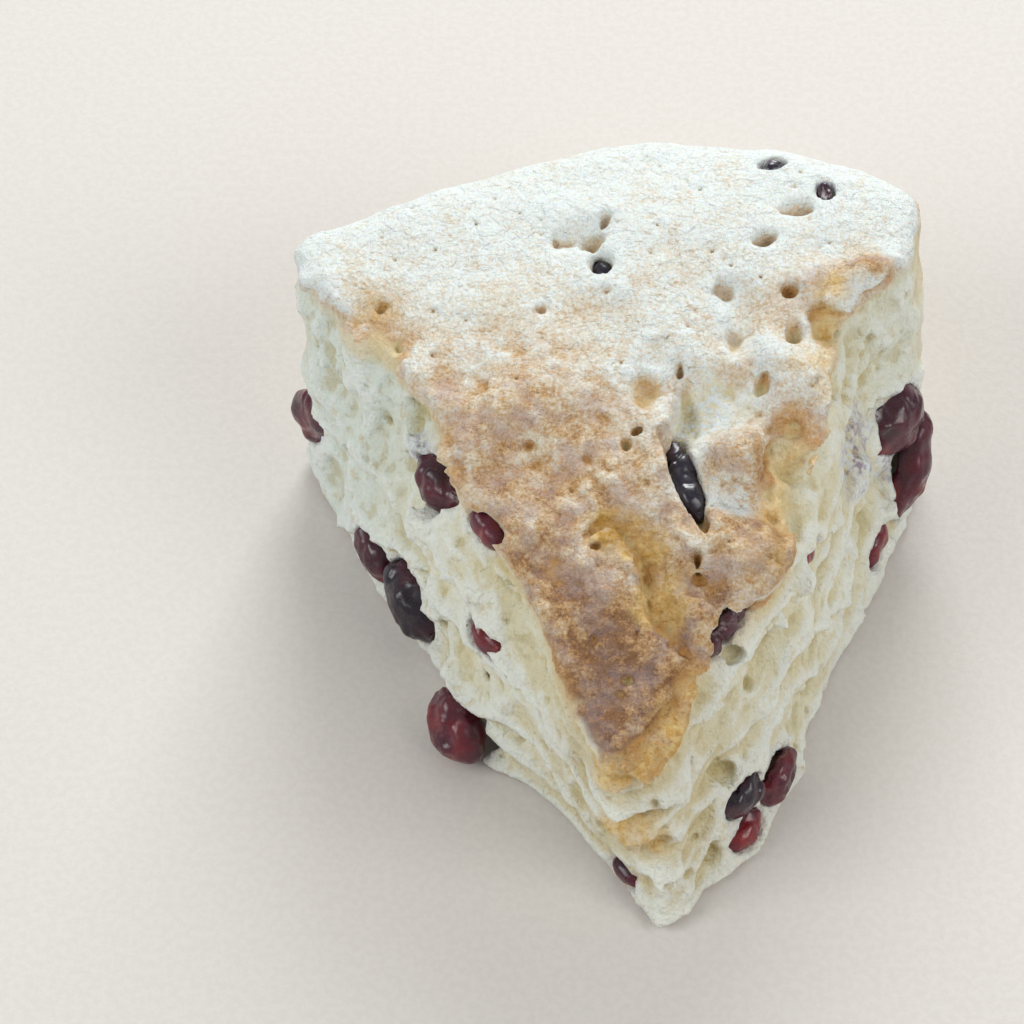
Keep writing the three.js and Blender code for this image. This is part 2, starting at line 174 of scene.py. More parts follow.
class Field:
    """A box of voxels that holds signed distances, below 0 inside."""

    def __init__(self, low, shape, voxel):
        self.low = np.asarray(low, float)
        self.shape = tuple(int(n) for n in shape)
        self.voxel = voxel
        self.values = None

    @classmethod
    def of_solid(cls, nodes, low, shape, voxel, reach):
        field = cls(low, shape, voxel)
        points, faces = solid_of(nodes)
        transform = vdb.createLinearTransform(voxelSize=voxel)
        local = (points - field.low).astype(np.float32)
        grid = vdb.FloatGrid.createLevelSetFromPolygons(
            local, triangles=faces, transform=transform, halfWidth=reach / voxel)
        field.values = np.empty(field.shape, np.float32)
        grid.copyToArray(field.values)
        return field

    def refined(self):
        """The same field at half the voxel size."""
        values = self.values
        for axis in range(3):
            values = np.moveaxis(values, axis, 0)
            double = np.empty((2 * len(values) - 1,) + values.shape[1:], np.float32)
            double[::2] = values
            double[1::2] = (values[1:] + values[:-1]) / 2
            values = np.moveaxis(double, 0, axis)
        field = Field(self.low, values.shape, self.voxel / 2)
        field.values = np.ascontiguousarray(values)
        return field

    def blurred(self, sigma):
        """The field softened by a bell curve of sigma, in mm."""
        steps = max(1, int(math.ceil(2.5 * sigma / self.voxel)))
        weights = np.exp(-0.5 * (np.arange(-steps, steps + 1) * self.voxel / sigma) ** 2)
        weights /= weights.sum()
        values = self.values
        for axis in range(3):
            widths = [(steps, steps) if k == axis else (0, 0) for k in range(3)]
            padded = np.pad(values, widths, "edge")
            size = values.shape[axis]
            values = sum(
                w * np.take(padded, np.arange(i, i + size), axis=axis)
                for i, w in enumerate(weights.astype(np.float32)))
        field = Field(self.low, self.shape, self.voxel)
        field.values = values
        return field

    def at(self, points):
        """The field's value at any points."""
        q = (points - self.low) / self.voxel
        q = np.clip(q, 0, np.array(self.shape) - 1.001)
        cell = q.astype(np.int64)
        f = (q - cell).astype(np.float32)
        total = np.zeros(len(points), np.float32)
        for corner in np.ndindex(2, 2, 2):
            weight = np.ones(len(points), np.float32)
            for k in range(3):
                weight *= f[:, k] if corner[k] else 1 - f[:, k]
            total += weight * self.values[tuple(cell[:, k] + corner[k] for k in range(3))]
        return total

    def normals(self, points):
        """The direction out of the solid at some points."""
        step = self.voxel
        slope = np.stack([
            self.at(points + step * np.eye(3)[k]) - self.at(points - step * np.eye(3)[k])
            for k in range(3)], axis=1)
        return slope / np.maximum(np.linalg.norm(slope, axis=1, keepdims=True), 1e-6)

    def onto(self, points):
        """The points moved onto the surface, and the directions out there."""
        for _ in range(3):
            normals = self.normals(points)
            points = points - self.at(points)[:, None] * normals
        return points, self.normals(points)

    def near(self, limit):
        """The indices and places of the voxels closer to the surface than limit."""
        index = np.nonzero(np.abs(self.values) < limit)
        return index, np.stack(index, axis=1) * self.voxel + self.low

    def window(self, centre, reach):
        """The slices of a small box round a place, and the places of its voxels."""
        low = np.clip(np.floor((centre - reach - self.low) / self.voxel), 0, self.shape).astype(int)
        high = np.clip(np.ceil((centre + reach - self.low) / self.voxel) + 1, 0, self.shape).astype(int)
        box = tuple(slice(a, b) for a, b in zip(low, high))
        axes = [np.arange(a, b) * self.voxel + self.low[k] for k, (a, b) in enumerate(zip(low, high))]
        return box, np.stack(np.meshgrid(*axes, indexing="ij"), axis=-1)

    def polygons(self, adaptivity=0.0):
        """The surface as points in mm and faces."""
        grid = vdb.FloatGrid(self.voxel * 4)
        grid.copyFromArray(np.clip(self.values, -self.voxel * 4, self.voxel * 4))
        grid.transform = vdb.createLinearTransform(voxelSize=self.voxel)
        points, triangles, quads = grid.convertToPolygons(isovalue=0.0, adaptivity=adaptivity)
        return points + self.low, triangles, quads


def ellipsoid(points, centre, axes, half):
    """About the distance from an ellipsoid with those half lengths along those axes."""
    local = (points - centre) @ axes.T
    outer = np.linalg.norm(local / half, axis=-1)
    inner = np.linalg.norm(local / (half * half), axis=-1)
    return outer * (outer - 1) / np.maximum(inner, 1e-6)


def surface_axes(normal, turn):
    """Two directions in a surface and the one out of it. On a level place turn starts from +X,
    and on a wall from the level direction along it."""
    up = np.array([0.0, 0.0, 1.0])
    across = np.cross(up, normal) if abs(normal[2]) < 0.8 else np.cross([0.0, 1.0, 0.0], normal)
    across /= np.linalg.norm(across)
    other = np.cross(normal, across)
    a = math.radians(turn)
    along = math.cos(a) * across + math.sin(a) * other
    return np.stack([along, np.cross(normal, along), normal])


SUNK = 0.3  # how far a pit's middle lies over the surface, as a share of its depth
PIT_MARGIN = 1.2
LUMP_MARGIN = 2
LUMP_BLEND = 0.9


def dig(field, place, normal, half, turn, depth, lip, ragged=0.0):
    """Opens a pit of the given half lengths and depth. ragged is how uneven its outline is."""
    centre = place + normal * depth * SUNK
    size = np.array([half[0], half[1], depth * (1 + SUNK)])
    box, points = field.window(centre, size.max() + PIT_MARGIN)
    tool = ellipsoid(points, centre, surface_axes(normal, turn), size)
    if ragged:
        uneven = layered(points.reshape(-1, 3), (1.0, 2.6, 0), (0.6, 1.3, 1))
        tool = tool + ragged * uneven.reshape(tool.shape)
    field.values[box] = smooth_max(field.values[box], -tool, lip)


def raise_lump(field, place, normal, half, turn, height):
    """Adds a soft lump that stands height above the surface."""
    size = np.array([half[0], half[1], height * 2])
    box, points = field.window(place, size.max() + LUMP_MARGIN)
    tool = ellipsoid(points, place - normal * height, surface_axes(normal, turn), size)
    field.values[box] = -smooth_max(-field.values[box], -tool, LUMP_BLEND)


# The dough's skin without its holes and sockets.

LOW = np.floor(np.array(cad_box[0]) / MM - MARGIN)
HIGH = np.ceil(np.array(cad_box[1]) / MM + MARGIN)
COARSE_SHAPE = ((HIGH - LOW) / COARSE).astype(int) + 1

# Open holes in the crust: place, half lengths along and across, turn in degrees, depth, raggedness.
CRUST_HOLES = [
    ("back tear, left", (-5.8, 28.4), (2.8, 1.4), 10, 2.4, 0.35),
    ("back tear, middle", (-2.6, 28.4), (2.5, 2.0), 40, 3.2, 0.4),
    ("back tear, spur", (-1.0, 30.8), (2.0, 0.8), 62, 2.0, 0.25),
    ("back raisin's hole", (-1.3, 23.4), (1.6, 1.9), 0, 3.6, 0.2),
    ("left corner", (-31.2, 17.7), (1.2, 0.9), 40, 1.8, 0.15),
    ("left of the middle", (-9.4, 16.3), (0.9, 0.8), 0, 1.4, 0.1),
    ("left edge", (-29.4, 11.3), (0.5, 1.0), 10, 1.3, 0.1),
    ("brown pit", (-10.7, -4.9), (0.9, 0.8), 20, 1.6, 0.1),
    ("back right", (25.8, 32.6), (2.6, 1.3), 12, 2.6, 0.3),
    ("right of the middle", (21.4, 27.2), (1.9, 1.2), 25, 2.4, 0.25),
    ("back right raisin's slot", (29.4, 35.6), (1.3, 0.9), 60, 1.8, 0.2),
    ("pair, upper", (15.9, 18.6), (1.9, 1.7), 130, 2.4, 0.25),
    ("pair, shallow way", (17.6, 15.2), (1.3, 2.4), 10, 1.3, 0.2),
    ("pair, slot", (18.8, 13.0), (0.6, 1.1), 10, 1.4, 0.1),
    ("pair, lower", (16.8, 10.9), (1.9, 1.5), 70, 2.4, 0.3),
    ("round, by the edge", (24.3, 18.2), (1.3, 1.1), 10, 2.2, 0.15),
    ("three-cornered", (25.0, 11.7), (1.3, 1.9), -20, 2.4, 0.3),
    ("slanted", (20.2, 3.8), (2.1, 1.0), 60, 2.2, 0.25),
    ("small", (18.6, 0.6), (0.7, 0.5), 80, 1.0, 0.1),
    ("right hollow, upper", (24.6, -2.4), (1.8, 1.6), 30, 2.0, 0.3),
    ("right hollow, lower", (22.0, -5.4), (1.5, 2.2), 0, 2.2, 0.3),
    ("golden pit", (5.0, 3.6), (1.4, 1.6), 20, 1.8, 0.35),
    ("golden pit, lower", (4.4, 1.4), (1.0, 1.1), 0, 1.5, 0.2),
    ("slit's upper end", (9.4, 6.3), (0.6, 1.5), 0, 2.4, 0.15),
    ("left of the slit", (2.2, -4.8), (0.7, 0.9), 0, 1.2, 0.1),
    ("middle, left", (-3.1, -6.8), (0.8, 0.7), 0, 1.0, 0.1),
    ("middle, right", (3.9, -3.2), (1.1, 0.8), 30, 0.8, 0.15),
    ("right rim, upper", (22.0, -11.6), (0.9, 0.9), 0, 1.5, 0.2),
    ("right rim, lower", (22.6, -14.6), (1.4, 0.9), 60, 1.8, 0.2),
    ("pitted lobe, upper", (11.5, -21.0), (0.8, 1.3), 0, 1.8, 0.2),
    ("pitted lobe, lower", (11.7, -23.4), (0.9, 1.0), 0, 1.6, 0.2),
    ("crack, upper end", (-1.6, -16.4), (2.2, 1.0), 30, 1.2, 0.3),
    ("crack, dent", (-1.8, -19.0), (1.0, 0.6), 20, 0.7, 0.1),
    ("tip, upper", (2.2, -36.4), (0.8, 0.7), 0, 1.2, 0.15),
    ("tip, lower", (1.3, -38.2), (0.7, 0.6), 0, 1.0, 0.1),
]
RAISIN_SLIT = [(10.6, 2.2), (9.4, -1.4), (9.2, -5.4), (10.0, -9.4), (11.2, -13.0), (12.2, -16.0)]
FOLD = [(-3.4, -15.6), (0.4, -17.8), (4.6, -21.6), (4.2, -25.2), (6.4, -29.6), (8.8, -34.6)]
FRUIT_REACH = 1.5  # the CAD's sockets are filled to this far from the fruit
HOLE_REACH = 4.5
HOLES_ABOVE = 32  # the crust's holes are higher than this
CRUST_LOWEST = 25
CRUST_FACING = 0.85  # how far a place has to face up to count as crust
CRUST_SPAN = 50  # keeps the terms of the crust's surface near 1
FILL_ROUNDS = 220


def skin_without_holes():
    """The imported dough's field, with its sockets and holes closed over as a soap film would."""
    dough = Field.of_solid(["dough"], LOW, COARSE_SHAPE, COARSE, REACH)
    fruit = Field.of_solid(FRUIT, LOW, COARSE_SHAPE, COARSE, REACH)
    x, y, z = np.meshgrid(*[np.arange(n) * COARSE + LOW[k] for k, n in enumerate(COARSE_SHAPE)],
                          indexing="ij")
    hidden = fruit.values < FRUIT_REACH
    places = [hole[1] for hole in CRUST_HOLES] + RAISIN_SLIT + FOLD
    for px, py in places:
        close = (x - px) ** 2 + (y - py) ** 2 < HOLE_REACH ** 2
        hidden |= close & (z > HOLES_ABOVE) & (dough.values < REACH - 1)
    hidden &= z > COARSE
    hidden[[0, -1]] = hidden[:, [0, -1]] = hidden[:, :, [0, -1]] = False
    where = np.flatnonzero(hidden)
    steps = [s // dough.values.itemsize for s in dough.values.strides]
    flat = dough.values.reshape(-1)
    for _ in range(FILL_ROUNDS):
        flat[where] = sum(flat[where + s] + flat[where - s] for s in steps) / 6
    return dough.blurred(SKIN_BLUR), fruit


def crust_level_fit(skin):
    """A smooth surface through the crust, which also says how deep below it a place on a wall is."""
    _, points = skin.near(COARSE * 0.6)
    normals = skin.normals(points)
    top = points[(normals[:, 2] > CRUST_FACING) & (points[:, 2] > CRUST_LOWEST)]
    fit = np.linalg.lstsq(crust_terms(top[:, 0], top[:, 1]), top[:, 2], rcond=None)[0]
    return lambda x, y: crust_terms(x, y) @ fit


def crust_terms(x, y):
    """The terms of the crust's surface over places in mm."""
    x, y = x / CRUST_SPAN, y / CRUST_SPAN
    return np.stack([np.ones_like(x), x, y, x * x, x * y, y * y, y ** 3, x * y * y], axis=1)


skin, fruit_field = skin_without_holes()
crust_level = crust_level_fit(skin)


class Zones:
    """What part of the scone each point belongs to."""

    def __init__(self, points, normals):
        angle = np.degrees(np.arctan2(points[:, 1] - MIDDLE[1], points[:, 0] - MIDDLE[0]))
        angle = np.where(angle < TIP_AT, angle + 360, angle)
        past_right = smooth(angle, RIM_FROM - BLEND, RIM_FROM + BLEND)
        self.rim = past_right * smooth(angle, RIM_TO + BLEND, RIM_TO - BLEND)
        right = smooth(angle, RIM_FROM + BLEND, RIM_FROM - BLEND) * smooth(angle, TIP_AT + 360, TIP_AT + 352)
        near_tip = smooth(points[:, 1], -30, -44)
        tip_right = smooth(points[:, 0] - MIDDLE[0], -1, 4)
        self.right = right * (1 - near_tip) + near_tip * tip_right
        self.left = np.clip(1 - self.rim - self.right, 0, 1)
        self.sink = crust_level(points[:, 0], points[:, 1]) - points[:, 2]
        upright = smooth(normals[:, 2], 0.72, 0.38)
        self.wall = upright * smooth(points[:, 2], 0.2, 2.2)
        self.top = (1 - upright) * smooth(self.sink, 11, 6)


# Relief of the cut walls. A ledge is a line along a wall above which the dough stands out: which wall, the
# line, how deep it is and how high it goes. The line's points are how far towards the tip and how high.
LEDGES = [
    ("left",
     [(-8, 31.5), (0.1, 26.5), (8.9, 25.5), (12.5, 22.4), (17.7, 22.6), (25, 23.5), (30, 22)], 2.4, 6.5),
    ("left", [(-30, 2.5), (-16.7, 12.3), (-5.6, 17.1), (0.0, 15.5)], 1.6, 6.5),
    ("left", [(-4, 11.5), (4.0, 9.0), (9.6, 8.2), (15.7, 11.6), (22.8, 13.0), (30, 10)], 2.0, 7.0),
    ("left", [(14, 6.5), (22, 5.0), (32, 6.0)], 1.0, 3.5),
    ("right", [(-9, 26.1), (-4.2, 27.7), (4.9, 35.4), (8.7, 34.8), (14, 33)], 1.2, 3.2),
    ("right", [(9.7, 35.4), (13.3, 30.5), (19.3, 29.4), (22.5, 30.5), (25.5, 28.4), (30.4, 26.7)], 1.8, 5.0),
    ("right", [(-7.3, 13.6), (-4.9, 12.0), (0.1, 14.2), (8.5, 21.2), (13.6, 22.1), (20, 18)], 1.9, 7.0),
    ("right", [(-26, 24), (-16, 22), (-8, 19)], 1.2, 5.0),
    ("right", [(6, 9.0), (13.4, 13.2), (19.5, 12.6), (26, 9.5)], 1.4, 5.0),
]
UNDERCUT = 0.55  # how deep the wall lies just under a ledge, as a share of the ledge
UNDERCUT_FALL = 3.2
LEDGE_FADE = 3.0
FOLD_SPACING = 6.4
FOLD_DEPTH = 0.75
FOLD_FACE = 0.9  # share of a fold's height over which it comes out, and over which it goes back
FOLD_BREAK = 0.1


def ledge_relief(points, zones):
    """How far the ledges make the walls stand out."""
    stray = layered(points, (1.0, 7, 3), (0.4, 2.6, 4), (0.15, 1.3, 5))
    total = np.zeros(len(points), np.float32)
    for wall, line, depth, rise in LEDGES:
        run = points @ (LEFT_RUN if wall == "left" else RIGHT_RUN)
        along, height = np.array(line).T
        over = points[:, 2] - np.interp(run, along, height) + stray
        above = 0.5 + 0.5 * np.tanh(over / 0.45)
        shape = above * np.exp(-np.maximum(over, 0) / rise)
        shape -= (1 - above) * UNDERCUT * np.exp(np.minimum(over, 0) / UNDERCUT_FALL)
        ends = smooth(run, along[0] - LEDGE_FADE, along[0])
        ends = ends * smooth(run, along[-1] + LEDGE_FADE, along[-1])
        total += depth * shape * ends * (zones.left if wall == "left" else zones.right)
    return total


def fold_relief(points, run, slope, seed):
    """Thin layers of dough, each of which stands out at its lower edge."""
    level = points[:, 2] - slope * (points @ run) + 3.2 * noise(points, 13, seed)
    part = ((level + 0.9 * noise(points, 4, seed + 1)) / FOLD_SPACING) % 1
    back = -1 + 2 * (part - FOLD_FACE) / FOLD_BREAK
    edge = np.where(part < FOLD_FACE, 1 - 2 * part / FOLD_FACE, back)
    strength = smooth(noise(points, 11, seed + 2), -0.15, 0.45)
    return FOLD_DEPTH * edge * strength


def torn_relief(points, direction, seed):
    """The soft drawn-out strands and dimples of torn dough."""
    warped = points + 0.9 * noises(points, 6, seed, 3)
    swells = noise(stretched(warped, direction, 2.6), 5.2, seed + 7)
    strands = ridges(stretched(warped, direction, 3.2), 3.4, seed + 3) - 0.5
    fine = ridges(stretched(warped, direction, 2.6), 1.8, seed + 4) - 0.5
    dimples = noise(points, 2.2, seed + 5)
    return 0.85 * swells + 0.6 * strands + 0.26 * fine + 0.16 * dimples + 0.16 * noise(points, 1.1, seed + 6)


def areas(points, table):
    """The sum of soft ellipses on the plan."""
    total = np.zeros(len(points), np.float32)
    for _, (x, y), half, turn, amount in table:
        a = math.radians(turn)
        dx, dy = points[:, 0] - x, points[:, 1] - y
        along = (dx * math.cos(a) + dy * math.sin(a)) / half[0]
        across = (dy * math.cos(a) - dx * math.sin(a)) / half[1]
        total += amount * smooth(np.sqrt(along * along + across * across), 1.45, 0.35)
    return total


LIP = 2.6  # how far down from the crust's level its edge reaches


def lip_relief(points, zones):
    """The crust's edge stands out over the wall below it."""
    scalloped = layered(points, (1.3, 5.5, 8), (0.5, 2.4, 9))
    depth = LIP + scalloped * (0.35 * zones.left + zones.right) - 0.6 * zones.left
    under = zones.sink - depth
    above = 0.5 - 0.5 * np.tanh(under / 0.3)
    below = (1 - above) * np.exp(-np.maximum(under, 0) / 4.5)
    front_left = smooth(points[:, 1], 14, 4)
    return (0.5 * above - 1.0 * below) * zones.right - 0.9 * below * zones.left * front_left


def crust_relief(points):
    """The crust's uneven top: its hollows and lumps, soft swells and a fine grain."""
    rough = 0.4 + 0.75 * smooth(points[:, 1], 24, 0) + 0.35 * smooth(points[:, 1], -12, -26)
    bumps = noise(points, 5.5, 12)
    small = np.abs(noise(points, 2.8, 13)) - 0.3
    grain = noise(points, 1.2, 14)
    forms = areas(points + 0.7 * noise(points, 4.5, 10)[:, None], CRUST_FORMS) + scarp_relief(points)
    return forms + 0.5 * noise(points, 9, 11) + rough * (0.6 * bumps + 0.65 * small + 0.2 * grain)


def rim_relief(points):
    """The baked rim: smooth swells with a few shallow wrinkles."""
    wrinkles = smooth(ridges(stretched(points, np.array([0.2, 0, 1.0]), 0.4), 5.5, 17), 0.75, 1.0)
    return layered(points, (0.45, 8, 15), (0.2, 3, 16)) - 0.4 * wrinkles


# Hollows and lumps of the crust, on the plan: place, half lengths, turn in degrees, rise.
CRUST_FORMS = [
    ("pale, over the lump", (14.6, 1.0), (5.4, 5.0), 0, -1.9),
    ("pale, left of the lump", (10.6, -5.0), (9.0, 2.2), 100, -1.7),
    ("pale, under the lump", (16.2, -12.4), (4.8, 2.4), -8, -1.4),
    ("pale, right of the lump", (21.6, -5.0), (2.2, 4.2), 0, -1.1),
    ("lump", (16.2, -5.6), (4.6, 4.2), 0, 1.3),
    ("saddle behind it", (16.6, 8.4), (3.4, 5.0), 0, -0.9),
    ("by the pair of holes", (18.0, 15.0), (2.6, 5.4), 0, -0.8),
    ("fold", (3.6, -18.2), (5.5, 2.4), -40, -0.8),
    ("fold, lower", (7.0, -27.0), (6.0, 2.2), -70, -0.7),
    ("front lobe", (-1.4, -27.0), (10.0, 4.8), 98, 0.8),
    ("pitted lobe", (13.6, -19.6), (6.0, 4.4), 25, 0.7),
    ("lobe beside the slit", (3.4, -8.0), (8.0, 4.2), 102, 0.7),
    ("middle", (-12.0, 1.0), (9.0, 6.0), 40, 0.5),
    ("left edge", (-21.0, 6.0), (6.0, 3.0), -50, -0.5),
    ("right edge's bump", (35.2, 19.8), (3.4, 2.4), 10, 0.9),
    ("edge behind the bay", (27.0, 20.5), (6.0, 2.2), 12, 0.6),
    ("golden pit", (5.0, 3.0), (2.2, 2.8), 0, -1.0),
    ("right rim", (25.0, -9.0), (2.6, 4.0), 10, -0.8),
    ("back tear", (-3.4, 29.0), (5.0, 2.6), 10, -0.7),
]
# Steps in the crust: rise, how far they fall off, and their line on the plan, which has the high side on
# its right, going along it.
SCARPS = [
    ("left rim of the slit", 1.7, 2.8,
     [(9.6, 6.6), (9.9, 3.6), (8.8, -0.6), (6.8, -3.2), (7.4, -7.0), (8.8, -10.0), (11.2, -15.4)]),
    ("front lobe's edge", 1.3, 2.6,
     [(-4.4, -14.4), (0.2, -16.2), (3.4, -20.4), (3.6, -25.0), (6.2, -30.0), (8.4, -34.6)]),
    ("edge of the pale ground", -0.8, 2.4, [(23.6, -7.6), (20.4, -3.0), (21.4, 2.0), (18.6, 6.0)]),
    ("edge over the golden shelf", 1.6, 2.6,
     [(12.2, -32.0), (9.8, -35.6), (7.2, -39.2), (4.4, -42.8), (1.8, -45.0), (-1.6, -47.0)]),
]


def scarp_relief(points):
    """The crust stands higher on one side of each step and falls off gently away from it."""
    uneven = points[:, :2] + 0.9 * noises(points, 3.6, 62, 2)
    uneven += 0.35 * noises(points, 1.5, 64, 2)
    total = np.zeros(len(points), np.float32)
    for _, rise, fall, line in SCARPS:
        line = np.array(line)
        nearest = np.full(len(points), 1e3)
        side, ends = np.zeros((2, len(points)))
        for k, (a, b) in enumerate(zip(line, line[1:])):
            length = np.linalg.norm(b - a)
            along = (b - a) / length
            held = np.clip((uneven - a) @ along, 0, length)
            away = uneven - a - held[:, None] * along
            distance = np.linalg.norm(away, axis=1)
            closer = distance < nearest
            nearest[closer] = distance[closer]
            side[closer] = (away @ np.array([along[1], -along[0]]))[closer]
            share = (k + held / length) / (len(line) - 1)
            ends[closer] = (smooth(share, 0, 0.2) * smooth(share, 1, 0.8))[closer]
        high = 0.5 + 0.5 * np.tanh(side / 0.35)
        bell = np.exp(-nearest / fall)
        total += rise * ends * bell * (0.45 * high - 0.75 * (1 - high))
    return total


COLLAR_HEIGHT = 1.1  # how far the dough swells up round a piece of fruit
COLLAR_WIDTH = 5.0
COLLAR_FRUIT = 2.5  # fruit narrower than this, from its middle, has a lower collar
BARE_DEPTH = 1.8  # how far the dough gives way over the fruit
COUNTS = 0.01  # a zone's share under this is left out


class Fruit:
    """Where one piece of fruit sits in the dough's skin, and its outline there."""

    def __init__(self, name):
        points, _ = solid_of([name])
        self.centre = (points.max(0) + points.min(0)) / 2
        self.normal = skin.normals(self.centre[None])[0]
        flat = points - self.centre
        flat = flat - (flat @ self.normal)[:, None] * self.normal
        _, _, axes = np.linalg.svd(flat, full_matrices=False)
        self.axes = axes[:2]
        self.half = np.abs(flat @ self.axes.T).max(0)

    def beside(self, points):
        """How far the points lie outside the outline, measured along the skin. Below 0 is over the fruit."""
        flat = (points - self.centre) @ self.axes.T / self.half
        return (np.linalg.norm(flat, axis=1) - 1) * self.half.min()


def collar(points):
    """How far the dough rises to the fruit beside it, and where it has broken off over the fruit."""
    ragged = layered(points, (0.45, 2.6, 50), (0.3, 1.2, 51))
    rise = np.zeros(len(points), np.float32)
    bare = np.zeros(len(points), np.float32)
    for piece in FRUIT_PIECES:
        reach = piece.half.max() + COLLAR_WIDTH + 1
        close = np.flatnonzero(((points - piece.centre) ** 2).sum(1) < reach ** 2)
        beside = piece.beside(points[close]) + ragged[close]
        height = COLLAR_HEIGHT * min(1, piece.half.min() / COLLAR_FRUIT)
        rise[close] = np.maximum(rise[close], height * smooth(beside, COLLAR_WIDTH, 0.3))
        bare[close] = np.maximum(bare[close], smooth(beside, 0.1, -0.5))
    return rise, bare


def add_relief(field):
    """Moves the fine field's surface out and in by the relief."""
    index, points = field.near(BAND)
    normals = skin.normals(points)
    zones = Zones(points, normals)
    relief = np.zeros(len(points), np.float32)
    for side, run, slope, lean, ends, seed in (
        (zones.left, LEFT_RUN, -0.27, 0.12, (4, -6), 20),
        (zones.right, RIGHT_RUN, -0.38, 0.5, (-4, -16), 40),
    ):
        chosen = np.flatnonzero(side * zones.wall > COUNTS)
        p = points[chosen]
        upright = np.array([0.0, 0.0, 1.0]) + lean * run
        drawn = run + np.array([0, 0, slope])
        upper = smooth(p @ run, *ends)
        torn = upper * torn_relief(p, upright, seed) + (1 - upper) * torn_relief(p, drawn, seed + 8)
        relief[chosen] += (side * zones.wall)[chosen] * (fold_relief(p, run, slope, seed + 30) + torn)
    cut = np.flatnonzero((1 - zones.rim) * zones.wall > COUNTS)
    sides = Zones(points[cut], normals[cut])
    relief[cut] += zones.wall[cut] * (ledge_relief(points[cut], sides) + lip_relief(points[cut], sides))
    on_top = np.flatnonzero(zones.top > COUNTS)
    relief[on_top] += zones.top[on_top] * crust_relief(points[on_top])
    baked = np.flatnonzero(zones.rim * zones.wall > COUNTS)
    relief[baked] += (zones.rim * zones.wall)[baked] * rim_relief(points[baked])
    rise, bare = collar(points)
    relief = (relief + rise) * (1 - bare) - BARE_DEPTH * bare
    field.values[index] -= relief


# Larger pits and holes of the cut walls: place, half lengths, turn, depth, raggedness.
WALL_PITS = [
    ("bay under the left lip", (-26.0, 4.2, 38.5), (3.4, 2.6), 70, 2.2, 0.5),
    ("beside the bay", (-29.5, 7.5, 35.5), (1.6, 3.0), 0, 0.9, 0.3),
    ("smooth lump, pore", (-15.4, -22.0, 14.9), (0.9, 0.8), 0, 1.4, 0.1),
    ("over the sliver", (-18.5, -16.0, 24.0), (1.0, 1.4), 0, 1.0, 0.2),
    ("smooth lump, dent", (-19.9, -18.4, 6.1), (0.8, 1.8), 30, 0.8, 0.2),
    ("golden, by the tip", (-3.4, -42.0, 22.6), (1.1, 1.3), 0, 1.6, 0.2),
    ("left wall, upper", (-37.4, 14.1, 16.8), (0.8, 1.2), 0, 1.0, 0.1),
    ("left wall, middle", (-34.8, 11.7, 28.0), (0.6, 0.9), 0, 0.9, 0.1),
    ("right crust's notch", (29.0, 13.6, 47.0), (3.0, 2.8), 20, 2.6, 0.5),
    ("right wall, upper", (34.3, 6.1, 16.7), (0.8, 1.0), 0, 1.2, 0.1),
    ("right wall, middle", (27.4, -13.0, 23.8), (0.6, 0.8), 0, 0.9, 0.1),
    ("right wall, brown", (32.4, -6.9, 12.0), (1.3, 1.6), 0, 1.4, 0.3),
    ("over the tip's fruit", (15.2, -37.6, 14.5), (1.9, 2.6), 30, 1.8, 0.4),
    ("tip's foot", (13.3, -44.0, 4.4), (1.5, 1.7), 20, 1.6, 0.3),
    ("under the raisin", (18.3, -29.4, 23.7), (0.9, 0.8), 40, 1.1, 0.2),
    ("beside the raisin", (15.5, -29.5, 31.0), (1.6, 1.4), 0, 1.2, 0.3),
    ("tip's front, upper", (6.0, -47.3, 22.4), (0.6, 1.4), 20, 1.0, 0.2),
    ("tip's front, lower", (7.1, -48.0, 16.2), (1.3, 0.6), 30, 0.9, 0.2),
    ("right corner, pore", (35.5, 17.5, 38.0), (0.9, 1.3), 0, 1.2, 0.2),
    ("right corner, fold", (32.0, 8.9, 35.7), (0.9, 2.6), 20, 1.0, 0.3),
]
# Lumps of the walls: place, half lengths, turn, height.
WALL_LUMPS = [
    ("golden shelf", (3.4, -46.6, 30.4), (4.6, 2.6), -12, 1.7),
    ("golden shelf, right end", (7.8, -44.8, 32.6), (3.2, 2.2), 24, 1.4),
    ("golden foot", (2.6, -47.6, 16.0), (2.4, 3.4), 0, 0.9),
    ("smooth lump", (-16.4, -22.6, 13.0), (6.4, 4.6), 0, 0.9),
    ("beside the dark fruit", (-24.0, -9.0, 11.0), (2.2, 5.0), 10, 0.7),
    ("floury, right corner", (34.2, 5.2, 23.6), (3.0, 3.6), 20, 1.1),
    ("floury, below it", (39.1, 15.0, 14.2), (2.6, 2.2), 0, 1.2),
]


def on_skin(place):
    """The skin's place nearest to one, and the way out there. A place with two numbers lies in the crust."""
    if len(place) == 2:
        x, y = place
        place = (x, y, crust_level(np.array([x]), np.array([y]))[0])
    places, normals = skin.onto(np.array([place], float))
    return places[0], normals[0]


def raise_wall_lumps(field):
    """The lumps of the table above."""
    for _, place, half, turn, height in WALL_LUMPS:
        raise_lump(field, *on_skin(place), half, turn, height)


def open_named_holes(field):
    """The holes and pits of the tables, with how rounded and how torn each table's are."""
    for table, lip, torn in ((CRUST_HOLES, 0.55, 1.8), (WALL_PITS, 0.5, 1.6)):
        for _, place, half, turn, depth, ragged in table:
            dig(field, *on_skin(place), half, turn, depth, lip, torn * ragged)


SLIT_HALF = (2.1, 1.5)
SLIT_DEPTH = 3.6


